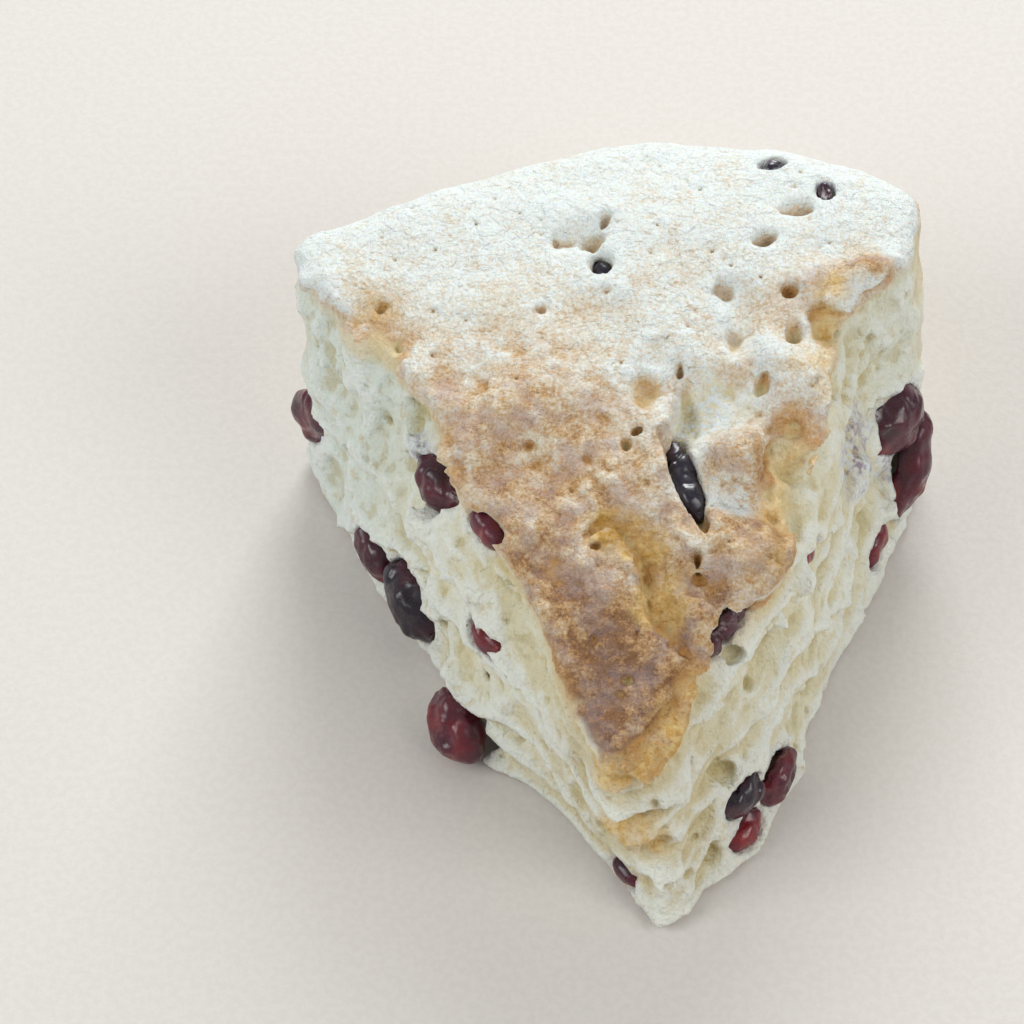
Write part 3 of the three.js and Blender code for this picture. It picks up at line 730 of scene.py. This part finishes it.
def open_slit(field):
    """The slit round the raisin, as a row of pits."""
    path = np.array(RAISIN_SLIT)
    steps = np.linspace(0, len(path) - 1, 4 * len(path) - 3)
    flat = np.stack([np.interp(steps, np.arange(len(path)), path[:, k]) for k in range(2)], axis=1)
    level = crust_level(flat[:, 0], flat[:, 1])
    places, normals = skin.onto(np.column_stack([flat, level]))
    heading = np.degrees(np.arctan2(np.gradient(flat[:, 1]), np.gradient(flat[:, 0])))
    taper = np.sin(np.pi * (0.12 + 0.76 * np.linspace(0, 1, len(flat)))) ** 0.5
    for place, normal, turn, share in zip(places, normals, heading, taper):
        half = (SLIT_HALF[0], SLIT_HALF[1] * share)
        dig(field, place, normal, half, turn, SLIT_DEPTH * share, 0.35, 0.25)


def open_pores(field):
    """Small pores and dimples, scattered over each part of the surface."""
    _, points = field.near(0.3)
    normals = skin.normals(points)
    zones = Zones(points, normals)
    # Each part: where it is, how many, half width, stretch, depth and turn.
    for weight, count, across, stretch, depth, turn in (
        (zones.left * zones.wall, 60, (0.35, 0.85), (0.9, 2.2), (0.35, 0.8), 90),
        (zones.right * zones.wall, 75, (0.35, 0.85), (0.9, 2.2), (0.35, 0.8), -35),
        (zones.top, 170, (0.3, 0.6), (0.8, 1.4), (0.3, 0.7), 0),
        (zones.rim * zones.wall, 40, (0.4, 0.8), (0.8, 1.8), (0.2, 0.4), 0),
    ):
        chance = np.where(weight > 0.6, weight, 0).astype(float)
        for i in rng.choice(len(points), count, replace=False, p=chance / chance.sum()):
            width = rng.uniform(*across) ** 1.3
            half = (width * rng.uniform(*stretch), width)
            turned = turn + rng.normal(0, 24)
            deep = rng.uniform(*depth) * (0.6 + width)
            dig(field, points[i], normals[i], half, turned, deep, 0.3)


SOCKET_GAP = 0.15
SOCKET_REACH = 3
SOCKET_LIP = 0.25
VIEW_RIGHT = np.array([1.0, 0.0, 0.0])
VIEW_BACK = np.array([0.0, -math.cos(CAMERA_PITCH), math.sin(CAMERA_PITCH)])
# How much of a piece of fruit under a lip lies open to the photograph's side: share of its
# length and width, and how far up the opening reaches.
OPENINGS = [
    ("cranberry_under_left_lip", 0.85, 4.5),
    ("cranberry_slab_under_lip", 0.8, 4.5),
    ("cranberry_left_slab", 0.85, 3.0),
    ("cranberry_left_sliver", 0.85, 3.0),
    ("raisin_under_right_lip", 0.72, 2.4),
]


def open_to_view(field):
    """Opens the dough over the fruit that lies under a lip."""
    view = np.stack([VIEW_RIGHT, np.cross(VIEW_BACK, VIEW_RIGHT), VIEW_BACK])
    for name, share, reach in OPENINGS:
        points, _ = solid_of([name])
        seen = points @ view.T
        centre = (seen.max(0) + seen.min(0)) / 2
        flat = seen[:, :2] - centre[:2]
        _, _, turned = np.linalg.svd(flat, full_matrices=False)
        half = np.abs(flat @ turned.T).max(0) * share
        axes = np.vstack([turned @ view[:2], VIEW_BACK])
        start = centre @ view + VIEW_BACK * reach * 0.8
        size = np.array([half[0], half[1], reach])
        box, places = field.window(start, size.max() + PIT_MARGIN)
        tool = ellipsoid(places, start, axes, size)
        uneven = layered(places.reshape(-1, 3), (0.35, 2.2, 60), (0.2, 1.1, 61))
        field.values[box] = smooth_max(field.values[box], -tool - uneven.reshape(tool.shape), 0.3)


def cut_sockets(field):
    """Makes room for the fruit."""
    fine = Field.of_solid(FRUIT, field.low, field.shape, FINE, SOCKET_REACH)
    field.values = smooth_max(field.values, SOCKET_GAP - fine.values, SOCKET_LIP)


def flatten_base(field):
    """The dough ends at the floor."""
    height = np.arange(field.shape[2]) * field.voxel + field.low[2]
    field.values = np.maximum(field.values, -height[None, None, :].astype(np.float32))


def new_object(name, data):
    obj = bpy.data.objects.new(name, data)
    bpy.context.scene.collection.objects.link(obj)
    return obj


def mesh_object(name, points, faces, body="root"):
    """A smooth-shaded mesh from points in mm, which rides on a CAD body."""
    mesh = bpy.data.meshes.new(name)
    mesh.from_pydata((points * MM).tolist(), [], [list(map(int, f)) for f in faces])
    mesh.validate()
    mesh.shade_smooth()
    obj = new_object(name, mesh)
    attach(obj, body)
    return obj


def give_attributes(obj, **values):
    """Numbers at each vertex, which the material reads by name."""
    for name, numbers in values.items():
        attribute = obj.data.attributes.new(name, "FLOAT", "POINT")
        attribute.data.foreach_set("value", np.asarray(numbers, np.float32))


# How much each part of the crust is baked: place, half lengths, turn in degrees, amount.
BAKED_AREAS = [
    ("front lobe", (-2.5, -31), (11, 5.0), 100, 0.12),
    ("middle", (-10, 2), (13, 12), 20, 0.12),
    ("right edge's bump", (35.6, 20.6), (3.6, 2.4), 10, 0.6),
    ("beside the bump", (31, 20.5), (5, 1.8), 10, 0.25),
    ("pits at the right", (26, 18), (10, 4), 25, 0.2),
    ("left edge", (-27, 10), (3.5, 13), 34, 0.12),
    ("left corner", (-32, 18), (4.5, 4), 0, 0.22),
    ("right rim", (22, -12), (3.5, 9), 0, 0.15),
    ("lump", (17.2, -5.6), (3.6, 3.2), 0, 0.16),
]
# How much the crust is baked from the tip to the back: y, amount.
BAKED_ALONG = [(-46, 0.92), (-40, 0.88), (-33, 0.74), (-24, 0.68), (-14, 0.56),
               (-4, 0.43), (8, 0.22), (18, 0.12), (28, 0.05), (36, 0.0)]
PALE_AREAS = [
    ("above the lump", (14.4, 1.4), (4.8, 3.8), 0, 0.75),
    ("above the slit", (4.5, 9.0), (8.5, 6.0), 10, 0.14),
    ("left of the lump", (11.2, -4.0), (5.5, 1.6), 100, 0.5),
    ("below the lump", (16.8, -12.4), (4.6, 2.4), -8, 0.6),
    ("pair of holes", (17, 14.5), (3, 6), 10, 0.25),
]
# Flour that sticks to the dough: place, reach, and how much fruit juice has turned it purple.
FLOURY_PLACES = [
    ("right corner", (34.8, 6.2, 26.4), 6.6, 1.0),
    ("right corner, below", (39.4, 14.6, 14.0), 4.5, 0.7),
    ("right corner, above", (31.5, 0.6, 34.0), 3.6, 0.5),
    ("left lip", (-25.6, 1.0, 36.0), 2.6, 0.5),
    ("slit", (13.0, 0.5, 43.0), 5.0, 0.0),
    ("below the lump", (16.8, -12.0, 41.0), 3.6, 0.0),
]
# Golden places: place, reach, amount. Baked golden at the tip's shelf and foot and the crust's edges;
# painted shade in the fold, the golden pit and the bay's floor. Over 0.8 the colour turns darker.
GOLDEN_AREAS = [
    ("shelf, left end", (0.8, -48.4, 30.0), 3.6, 1.2),
    ("shelf", (4.9, -45.8, 30.6), 4.4, 1.0),
    ("shelf, right end", (8.8, -42.0, 31.0), 4.2, 1.0),
    ("shelf, upper end", (11.4, -37.0, 33.0), 3.0, 0.8),
    ("foot", (2.8, -47.6, 14.5), 4.6, 1.1),
    ("right rim", (29, 6, 46), 4.0, 0.7),
    ("right rim, middle", (25.5, -8, 43), 4.0, 0.7),
    ("below the lump", (20, -20, 40), 4.0, 0.5),
    ("fold, upper", (0.6, -16.6, 42.0), 3.4, 1.6),
    ("fold, middle", (4.4, -19.8, 41.0), 3.4, 1.4),
    ("fold, lower", (6.8, -26.5, 39.0), 4.0, 1.2),
    ("right rim, lower", (22.5, -13.5, 41.5), 3.6, 0.7),
    ("edge of the bay", (30, 17, 47.5), 3.5, 0.9),
    ("floor of the bay", (30.2, 12.4, 44.6), 3.0, 1.2),
    ("golden pit", (4.8, 3.0, 46.0), 2.4, 1.1),
    ("left lip", (-24, 0, 42), 3.5, 0.4),
    ("left corner", (-31.5, 17, 45), 3.0, 0.5),
]


def around(points, place, reach, uneven, far, near):
    """0 away from a place and 1 at it. far and near are shares of its reach."""
    away = np.linalg.norm(points - np.array(place), axis=1) / reach
    return smooth(away + uneven, far, near)


def paint_dough(obj, points, softened, broader):
    """What the material reads at each vertex. softened and broader are the dough's own field, blurred, which
    the material uses for painted highlight on crests and painted shade in dents and hollows.
    """
    facing = np.empty(len(points) * 3, np.float32)
    obj.data.vertex_normals.foreach_get("vector", facing)
    facing = facing.reshape(-1, 3)
    outward = skin.normals(points)
    zones = Zones(points, outward)
    y = points[:, 1]
    ragged = layered(points, (0.9, 5, 70), (0.45, 2, 71), (0.2, 1, 72))
    mottle = layered(points, (0.5, 8, 73), (0.35, 3, 74), (0.25, 1.4, 75))
    leaning = smooth(outward[:, 2], 0.97, 0.86)

    edge = 2.0 + ragged * (1.3 * zones.right + 0.5 * zones.left) + 2.2 * zones.rim
    edge -= zones.left * (0.8 * smooth(y, 20, 8) + 0.3 * smooth(y, -26, -36))
    crust = smooth(zones.sink, edge + 0.7, edge - 0.5)
    crust = crust * smooth(skin.at(points), -4.8, -3.4) * smooth(facing[:, 2], -0.3, 0.1)

    along, amount = np.array(BAKED_ALONG).T
    bake = np.interp(y + 3 * mottle, along, amount)
    bake += areas(points, BAKED_AREAS) - areas(points, PALE_AREAS)
    bake = bake * (1 + 0.3 * mottle) + 0.06 * mottle
    bake += 0.16 * smooth(zones.sink + ragged, 0.2, 1.4) * leaning * (1 - zones.rim) * smooth(y, 26, 4)

    gold, smear, juice = np.zeros((3, len(points)))
    # Golden baked edges, and painted shade in the fold, the golden pit and the bay's floor.
    for _, place, reach, amount in GOLDEN_AREAS:
        gold = np.maximum(gold, amount * around(points, place, reach, 0.5 * ragged, 1.3, 0.4))
    for _, place, reach, purple in FLOURY_PLACES:
        here = around(points, place, reach, 0.4 * ragged, 1.2, 0.5)
        smear = np.maximum(smear, here)
        juice = np.maximum(juice, purple * here)

    brink = smooth(zones.sink + 0.6 * ragged, 0.3, 1.5) * smooth(zones.sink, 5.0, 3.0)
    brink = brink * (0.25 + 0.75 * leaning) * (1 - 0.8 * zones.rim) * smooth(y, 30, 14)
    # Painted cool light: a bluish tint on the back parts of the walls.
    cool = zones.left * smooth(y, -12, 12) + 0.6 * zones.right * smooth(y, 6, 24)
    give_attributes(
        obj,
        crust=crust,
        bake=np.clip(bake, 0, 1.3),
        gold=gold,
        smear=smear,
        juice=juice,
        brink=brink,
        # The blurred fields below give painted highlight on crests and painted shade in dents and hollows.
        ridge=softened.at(points),
        swell=broader.at(points),
        stain=smooth(fruit_field.at(points) + 0.8 * mottle, 1.9, 0.1),
        rim=zones.rim * smooth(zones.sink, 1.5, 4.5),
        base=smooth(points[:, 2] + 0.25 * ragged, 0.9, 0.2),
        cool=cool * zones.wall,
        # Painted shade: the walls' crumb is darker and yellower towards the tip.
        warm=smooth(y, -26, -42) * zones.wall,
    )


FRUIT_PIECES = [Fruit(name) for name in FRUIT]


# Materials.

def linear(red, green, blue):
    """A colour of the photograph, 0 to 255, in the linear values that shaders use."""
    values = [c / 255 for c in (red, green, blue)]
    return tuple(v / 12.92 if v <= 0.04045 else ((v + 0.055) / 1.055) ** 2.4 for v in values) + (1,)


class Shade:
    """Adds nodes to a material and joins them."""

    def __init__(self, name):
        self.material = bpy.data.materials.new(name)
        self.material.use_nodes = True
        self.tree = self.material.node_tree
        self.shader = self.tree.nodes["Principled BSDF"]
        self.place = self.node("ShaderNodeTexCoord").outputs["Object"]

    def node(self, kind, inputs=(), **values):
        """A node with its settings, and its inputs fed."""
        node = self.tree.nodes.new(kind)
        for key, value in values.items():
            setattr(node, key, value)
        for key, value in dict(inputs).items():
            self.feed(node.inputs[key], value)
        return node

    def feed(self, socket, value):
        """Joins a socket to another node's, or sets it to a constant."""
        if isinstance(value, bpy.types.NodeSocket):
            self.tree.links.new(value, socket)
        else:
            socket.default_value = value

    def attribute(self, name):
        return self.node("ShaderNodeAttribute", attribute_name=name).outputs["Fac"]

    def noise(self, size, detail=3.0, roughness=0.6, scale=None):
        """Noise whose grain is about size mm."""
        place = self.place
        if scale:
            place = self.node("ShaderNodeMapping", {"Vector": place, "Scale": scale}).outputs["Vector"]
        inputs = {"Vector": place, "Scale": 1 / (size * MM), "Detail": detail, "Roughness": roughness}
        return self.node("ShaderNodeTexNoise", inputs).outputs["Fac"]

    def cells(self, size):
        """Distance to the nearest of scattered points about size mm apart, in units of size."""
        inputs = {"Vector": self.place, "Scale": 1 / (size * MM)}
        return self.node("ShaderNodeTexVoronoi", inputs).outputs["Distance"]

    def span(self, value, low, high, to_low=0.0, to_high=1.0):
        """Maps low..high to to_low..to_high, clamped."""
        inputs = {"Value": value, "From Min": low, "From Max": high, "To Min": to_low, "To Max": to_high}
        return self.node("ShaderNodeMapRange", inputs, interpolation_type="SMOOTHSTEP").outputs["Result"]

    def maths(self, operation, a, b, clamp=False):
        return self.node("ShaderNodeMath", {0: a, 1: b}, operation=operation, use_clamp=clamp).outputs[0]

    def times(self, a, b):
        return self.maths("MULTIPLY", a, b)

    def plus(self, a, b):
        return self.maths("ADD", a, b)

    def minus(self, a, b):
        return self.maths("SUBTRACT", a, b)

    def mix(self, share, under, over):
        """A share of one colour over another. A tuple is a colour of the photograph."""
        under, over = (linear(*c) if isinstance(c, tuple) else c for c in (under, over))
        return self.node("ShaderNodeMix", {0: share, 6: under, 7: over}, data_type="RGBA").outputs[2]

    def layers(self, colour, layers):
        """A colour under some others, each with its share."""
        for share, over in layers:
            colour = self.mix(share, colour, over)
        return colour

    def ramp(self, value, stops):
        node = self.node("ShaderNodeValToRGB", {"Fac": value})
        elements = node.color_ramp.elements
        while len(elements) < len(stops):
            elements.new(0.5)
        for element, (position, colour) in zip(elements, stops):
            element.position = position
            element.color = linear(*colour)
        return node.outputs["Color"]

    def bump(self, height, distance, strength, under=None):
        """Relief distance mm high, over another bump."""
        inputs = {"Height": height, "Distance": distance * MM, "Strength": strength}
        if under:
            inputs["Normal"] = under
        return self.node("ShaderNodeBump", inputs).outputs["Normal"]

    def surface(self, inputs):
        """Feeds the shader and gives the material."""
        for key, value in inputs.items():
            self.feed(self.shader.inputs[key], value)
        return self.material


# The crust's colour by how much it is baked, and that of the mauve patches on it, partly flour dust and
# partly a painted bluish sheen.
BAKED_COLOURS = [(0.0, (229, 235, 233)), (0.14, (225, 222, 210)), (0.3, (219, 207, 187)),
                 (0.5, (208, 180, 143)), (0.72, (185, 145, 99)), (0.95, (141, 102, 70))]
DUST_COLOURS = [(0.15, (214, 196, 188)), (0.5, (186, 162, 155)), (0.9, (147, 128, 126))]


def dough_material():
    """Pale torn crumb, and a crust that goes from cream over golden to brown."""
    s = Shade("scone_dough")
    crust, bake, gold = s.attribute("crust"), s.attribute("bake"), s.attribute("gold")
    broad = s.noise(9, 3)
    patches = s.noise(5.5, 4, 0.55)
    medium = s.noise(2.4, 4)
    fine = s.noise(0.8, 4)
    grain = s.noise(0.5, 3, 0.7)
    uneven = s.times(s.minus(fine, 0.5), 0.5)
    # The dough's crests and dents and its swells and hollows, for painted highlight and painted shade.
    crest = s.plus(s.attribute("ridge"), s.times(uneven, 0.5))
    swell = s.plus(s.attribute("swell"), uneven)
    brink = s.attribute("brink")
    smear = s.times(s.attribute("smear"), s.span(fine, 0.4, 0.58, 0.15, 0.85))
    juice = s.times(s.attribute("juice"), s.span(medium, 0.6, 0.44))

    crumb = s.layers(s.mix(s.span(broad, 0.35, 0.65), (227, 223, 200), (219, 210, 174)), [
        # Painted cool light as a bluish tint on the walls' back parts, and painted shade on the walls near
        # the tip.
        (s.times(s.attribute("cool"), 0.9), (219, 228, 220)),
        (s.times(s.attribute("warm"), 0.7), (210, 196, 158)),
        # Painted shade: darker and yellower in hollows and dents. Painted highlight: whiter on swells and
        # crests.
        (s.span(swell, -0.1, -1.1, 0, 0.6), (194, 176, 112)),
        (s.span(swell, 0.15, 0.9, 0, 0.5), (234, 240, 236)),
        (s.span(crest, -0.03, -0.25, 0, 0.4), (182, 162, 98)),
        (s.span(crest, 0.03, 0.25, 0, 0.4), (236, 241, 238)),
        (s.span(grain, 0.5, 0.68, 0, 0.3), (232, 236, 230)),
        (s.times(s.span(medium, 0.56, 0.7), 0.4), (204, 178, 116)),
        (s.times(brink, 0.6), (220, 198, 148)),
        (smear, s.mix(juice, (214, 224, 232), (142, 124, 148))),
        (s.times(s.attribute("stain"), s.span(fine, 0.45, 0.6, 0, 0.5)), (168, 140, 150)),
    ])

    blotch = s.plus(s.minus(medium, 0.5), s.minus(patches, 0.5))
    tone = s.plus(bake, s.times(blotch, s.span(bake, 0.0, 0.8, 0.35, 0.75)))
    tone = s.plus(tone, s.times(s.minus(grain, 0.5), 1.2))
    # Painted shade and highlight: the crust is darker in its dents and lighter on its crests.
    tone = s.minus(tone, s.times(s.span(crest, -0.25, 0.25, -0.5, 0.5), 0.34))
    # Mauve patches on the baked crust: partly flour dust, partly a painted sheen.
    dust = s.times(s.span(s.noise(4.2, 4, 0.62), 0.42, 0.66), s.span(bake, 0.1, 0.6, 0, 0.66))
    specks = s.times(s.span(s.cells(1.1), 0.4, 0.15), s.span(medium, 0.5, 0.62))
    frost = s.times(s.span(s.noise(0.45, 2, 0.8), 0.6, 0.72), s.span(s.noise(6, 3), 0.4, 0.6, 0.1, 0.6))
    baked = s.layers(s.ramp(tone, BAKED_COLOURS), [
        (dust, s.ramp(bake, DUST_COLOURS)),
        (s.times(specks, s.span(bake, 0.02, 0.3, 0.3, 0.45)), (202, 148, 88)),
        (s.times(frost, s.span(bake, 0.4, 0.8, 1, 0.45)), (228, 214, 206)),
        # Painted shade: golden brown in the crust's hollows and dents.
        (s.times(s.span(swell, -0.05, -0.7), s.span(bake, 0.1, 0.4, 0.1, 0.7)), (196, 150, 80)),
        (s.times(s.span(crest, -0.12, -0.4), s.span(bake, 0.02, 0.3, 0.3, 0.7)), (184, 136, 74)),
        (s.times(brink, s.span(fine, 0.35, 0.6, 0.35, 0.75)), (206, 156, 92)),
        (s.times(smear, 0.8), (226, 235, 236)),
    ])

    # Golden baked edges, and painted shade in the fold, the golden pit and the bay's floor, darker where the
    # golden amount passes 0.8.
    golden = s.mix(s.span(fine, 0.4, 0.65), (226, 198, 138), (206, 162, 88))
    golden = s.mix(s.span(gold, 0.8, 1.5, 0, 0.9), golden, (178, 134, 50))
    gilded = s.times(s.maths("MINIMUM", gold, 1.0), s.span(medium, 0.38, 0.58, 0.5, 0.95))
    colour = s.layers(s.mix(crust, crumb, baked), [
        (gilded, golden),
        (s.attribute("base"), s.mix(s.span(medium, 0.4, 0.6), (196, 152, 96), (160, 116, 70))),
        (s.times(s.attribute("rim"), 0.8),
         s.mix(s.span(patches, 0.42, 0.62), (224, 208, 170), (204, 168, 118))),
    ])

    relief = s.bump(s.noise(0.55, 3, 0.6), 0.55, s.span(crust, 0, 1, 0.45, 0.9))
    relief = s.bump(s.noise(0.9, 4, 0.6, (1, 1, 0.4)), 0.6, s.span(crust, 0, 1, 0.8, 0.25), relief)
    relief = s.bump(s.noise(1.7, 4, 0.55), 1.2, s.span(crust, 0, 1, 0.6, 0.9), relief)
    gloss = s.span(medium, 0.4, 0.65, 0.5, 0.68)
    return s.surface({
        "Base Color": colour,
        "Roughness": s.plus(gloss, s.times(crust, 0.12)),
        "Specular IOR Level": 0.32,
        "Subsurface Weight": 0.25,
        "Subsurface Radius": (1.0, 0.7, 0.4),
        "Subsurface Scale": 1.0 * MM,
        "Normal": relief,
    })


# Each kind of fruit: the colours of its skin where it is light, usual and dark.
FRUIT_LOOKS = {
    "cranberry": ((150, 30, 26), (90, 18, 38), (28, 12, 30)),
    "raisin": ((84, 36, 50), (30, 20, 40), (10, 10, 26)),
}


def fruit_material(kind):
    """Wrinkled, glossy skin that is lighter where it is thin."""
    light, usual, dark = FRUIT_LOOKS[kind]
    s = Shade("scone_" + kind)
    mottle = s.noise(0.9, 4)
    powder = s.times(s.attribute("flour"), s.span(s.noise(0.7, 4), 0.42, 0.62))
    colour = s.layers(s.ramp(s.attribute("dark"), [(0.0, light), (0.45, usual), (1.0, dark)]), [
        (s.span(mottle, 0.4, 0.7, 0, 0.35), dark),
        (powder, (206, 202, 204)),
    ])
    return s.surface({
        "Base Color": colour,
        "Roughness": s.maths("ADD", s.span(mottle, 0.4, 0.65, 0.24, 0.46), powder, clamp=True),
        "Subsurface Weight": 0.12,
        "Subsurface Radius": (1.0, 0.25, 0.2),
        "Subsurface Scale": 0.8 * MM,
        "Coat Weight": 0.35,
        "Coat Roughness": 0.22,
        "Normal": s.bump(s.noise(0.7, 3), 0.2, 0.35),
    })


# Fruit. Lengths are in mm.
FRUIT_VOXEL = 0.22
FRUIT_MARGIN = 2.2
FRUIT_BAND = 1.6
FRUIT_BLUR = 0.3
SKIN_SOFTENING = 0.16
FRUIT_SWELL = 0.36  # makes up for what the softening takes off
SWOLLEN = {"cranberry_right_corner": 0.5, "cranberry_right_flap": 0.5}  # mm more than their solids
WRINKLED = {"cranberry": 0.5, "raisin": 1.5}
# How dark each piece is and how much flour sticks to it.
FRUIT_TONES = {
    "cranberry_left_corner": (0.45, 0.0),
    "cranberry_under_left_lip": (0.5, 0.4),
    "cranberry_slab_under_lip": (0.25, 0.0),
    "cranberry_left_slab": (0.6, 0.0),
    "cranberry_left_dark": (0.85, 0.0),
    "cranberry_left_sliver": (0.3, 0.0),
    "cranberry_left_low": (0.35, 0.0),
    "cranberry_right_corner": (0.5, 1.0),
    "cranberry_right_flap": (0.45, 0.5),
    "cranberry_right_small": (0.3, 0.0),
    "cranberry_right_skin": (0.1, 0.0),
    "cranberry_tip_dark": (0.85, 0.5),
    "cranberry_tip_slab": (0.35, 0.0),
    "cranberry_tip_low": (0.25, 0.8),
    "raisin_under_right_lip": (-0.1, 0.4),
    "raisin_back_crumb": (0.2, 1.0),
    "raisin_right_crumb": (0.1, 1.0),
}
USUAL_TONE = (0.4, 0.0)


def build_fruit(name, material):
    """One piece of dried fruit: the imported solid, softened and wrinkled."""
    low, high = (np.array(corner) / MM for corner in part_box(name))
    low = low - FRUIT_MARGIN
    shape = np.ceil((high + FRUIT_MARGIN - low) / FRUIT_VOXEL).astype(int) + 1
    field = Field.of_solid([name], low, shape, FRUIT_VOXEL, FRUIT_MARGIN).blurred(FRUIT_BLUR)
    index, points = field.near(FRUIT_BAND)
    drawn = stretched(points, np.array([0.3, 0.5, 1.0]), 1.8)
    folds = smooth(ridges(drawn, 4.6, 81), 0.6, 1.0)
    wrinkles = smooth(ridges(drawn, 2.0, 86), 0.5, 1.0)
    uneven = layered(points, (0.5, 3.6, 82), (0.1, 1.5, 87))
    inward = WRINKLED[name.split("_")[0]] * (0.45 * folds + 0.16 * wrinkles)
    field.values[index] += inward - FRUIT_SWELL - SWOLLEN.get(name, 0) - uneven
    field = field.blurred(SKIN_SOFTENING)
    points, triangles, quads = field.polygons()
    lowest = points[:, 2] < 0
    points[lowest, 2] = 0
    obj = mesh_object(name + "_skin", points, list(triangles) + list(quads))
    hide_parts(name)
    obj.data.materials.append(material)
    share = (points - low) / (high - low)
    tone, floury = FRUIT_TONES.get(name, USUAL_TONE)
    dark = tone + 0.35 * noise(points, 3.4, 83) + 0.3 * (share[:, 2] - 0.5)
    cover = smooth(skin.at(points) + 0.5 * noise(points, 1.6, 84), 0.9, 0.1)
    flour = floury * cover * smooth(noise(points, 3.2, 85), -0.1, 0.3)
    give_attributes(obj, dark=np.clip(dark, 0, 1), flour=flour)


def build_dough():
    """The dough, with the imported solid's shape and all the relief that is too fine for it."""
    field = skin.refined().blurred(FINE_BLUR)
    field.values += EDGE_GAIN * (field.values - field.blurred(EDGE_BLUR).values)
    raise_wall_lumps(field)
    add_relief(field)
    open_named_holes(field)
    open_slit(field)
    open_pores(field)
    open_to_view(field)
    cut_sockets(field)
    flatten_base(field)
    points, triangles, quads = field.polygons(ADAPTIVITY)
    points[:, 2] = np.maximum(points[:, 2], 0)
    obj = mesh_object("scone_dough", points, list(triangles) + list(quads))
    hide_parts("dough")
    paint_dough(obj, points, field.blurred(RIDGE_BLUR), field.blurred(SWELL_BLUR))
    obj.data.materials.append(dough_material())


# Stage: camera, floor and light.

CLIP_START = 0.01
FLOOR_HALF = 3.0
WORLD_STRENGTH = 0.375
LIGHT_DISTANCE = 0.9
LIGHT_AIM = Vector((0, 0, 0.025))
# Soft lights: name, direction, size, watts, colour.
LIGHTS = [
    ("key_back", (0.1, 0.9, 0.5), 0.4, 6.4, (0.97, 1.0, 1.0)),
    ("side_left", (-0.8, -0.3, 0.75), 0.5, 3.3, (0.96, 1.0, 1.0)),
    ("side_right", (0.75, -0.4, 0.75), 0.5, 3.0, (1.0, 1.0, 0.98)),
]


def add_camera():
    """The photograph's camera."""
    camera = bpy.data.cameras.new("camera")
    camera.lens = CAMERA_LENS
    camera.sensor_width = SENSOR
    camera.clip_start = CLIP_START
    camera.shift_x = (PHOTO_SIDE / 2 - AIM_PIXEL[0]) / PHOTO_SIDE
    camera.shift_y = (AIM_PIXEL[1] - PHOTO_SIDE / 2) / PHOTO_SIDE
    obj = new_object("camera", camera)
    obj.location = (Vector(CAMERA_AIM) + Vector(VIEW_BACK) * CAMERA_DISTANCE) * MM
    obj.rotation_euler = (math.pi / 2 - CAMERA_PITCH, 0, 0)
    bpy.context.scene.camera = obj


def add_floor():
    """A plain pale floor with a faint grain."""
    mesh = bpy.data.meshes.new("floor")
    corners = [(x * FLOOR_HALF, y * FLOOR_HALF, 0) for x, y in ((-1, -1), (1, -1), (1, 1), (-1, 1))]
    mesh.from_pydata(corners, [], [(0, 1, 2, 3)])
    obj = new_object("floor", mesh)
    s = Shade("floor_paper")
    grain = s.noise(1.1, 3)
    mesh.materials.append(s.surface({
        "Base Color": s.mix(s.span(grain, 0.4, 0.6, 0, 0.5), (216, 211, 206), (209, 204, 198)),
        "Roughness": 0.9,
        "Normal": s.bump(grain, 0.3, 0.25),
    }))


def add_light(name, direction, size, watts, colour):
    """A square soft light that looks at the scone."""
    data = bpy.data.lights.new(name, "AREA")
    data.size = size
    data.energy = watts
    data.color = colour
    obj = new_object(name, data)
    towards = Vector(direction).normalized()
    obj.location = towards * LIGHT_DISTANCE + LIGHT_AIM
    obj.rotation_euler = towards.to_track_quat("Z", "Y").to_euler()


def add_world():
    """Even white light from all sides."""
    world = bpy.data.worlds.new("studio")
    world.use_nodes = True
    background = world.node_tree.nodes["Background"]
    background.inputs["Color"].default_value = (1, 1, 1, 1)
    background.inputs["Strength"].default_value = WORLD_STRENGTH
    bpy.context.scene.world = world


add_camera()
add_floor()
add_world()
for light in LIGHTS:
    add_light(*light)
bpy.context.scene.view_settings.view_transform = "Standard"

build_dough()
materials = {kind: fruit_material(kind) for kind in FRUIT_LOOKS}
for name in FRUIT:
    build_fruit(name, materials[name.split("_")[0]])
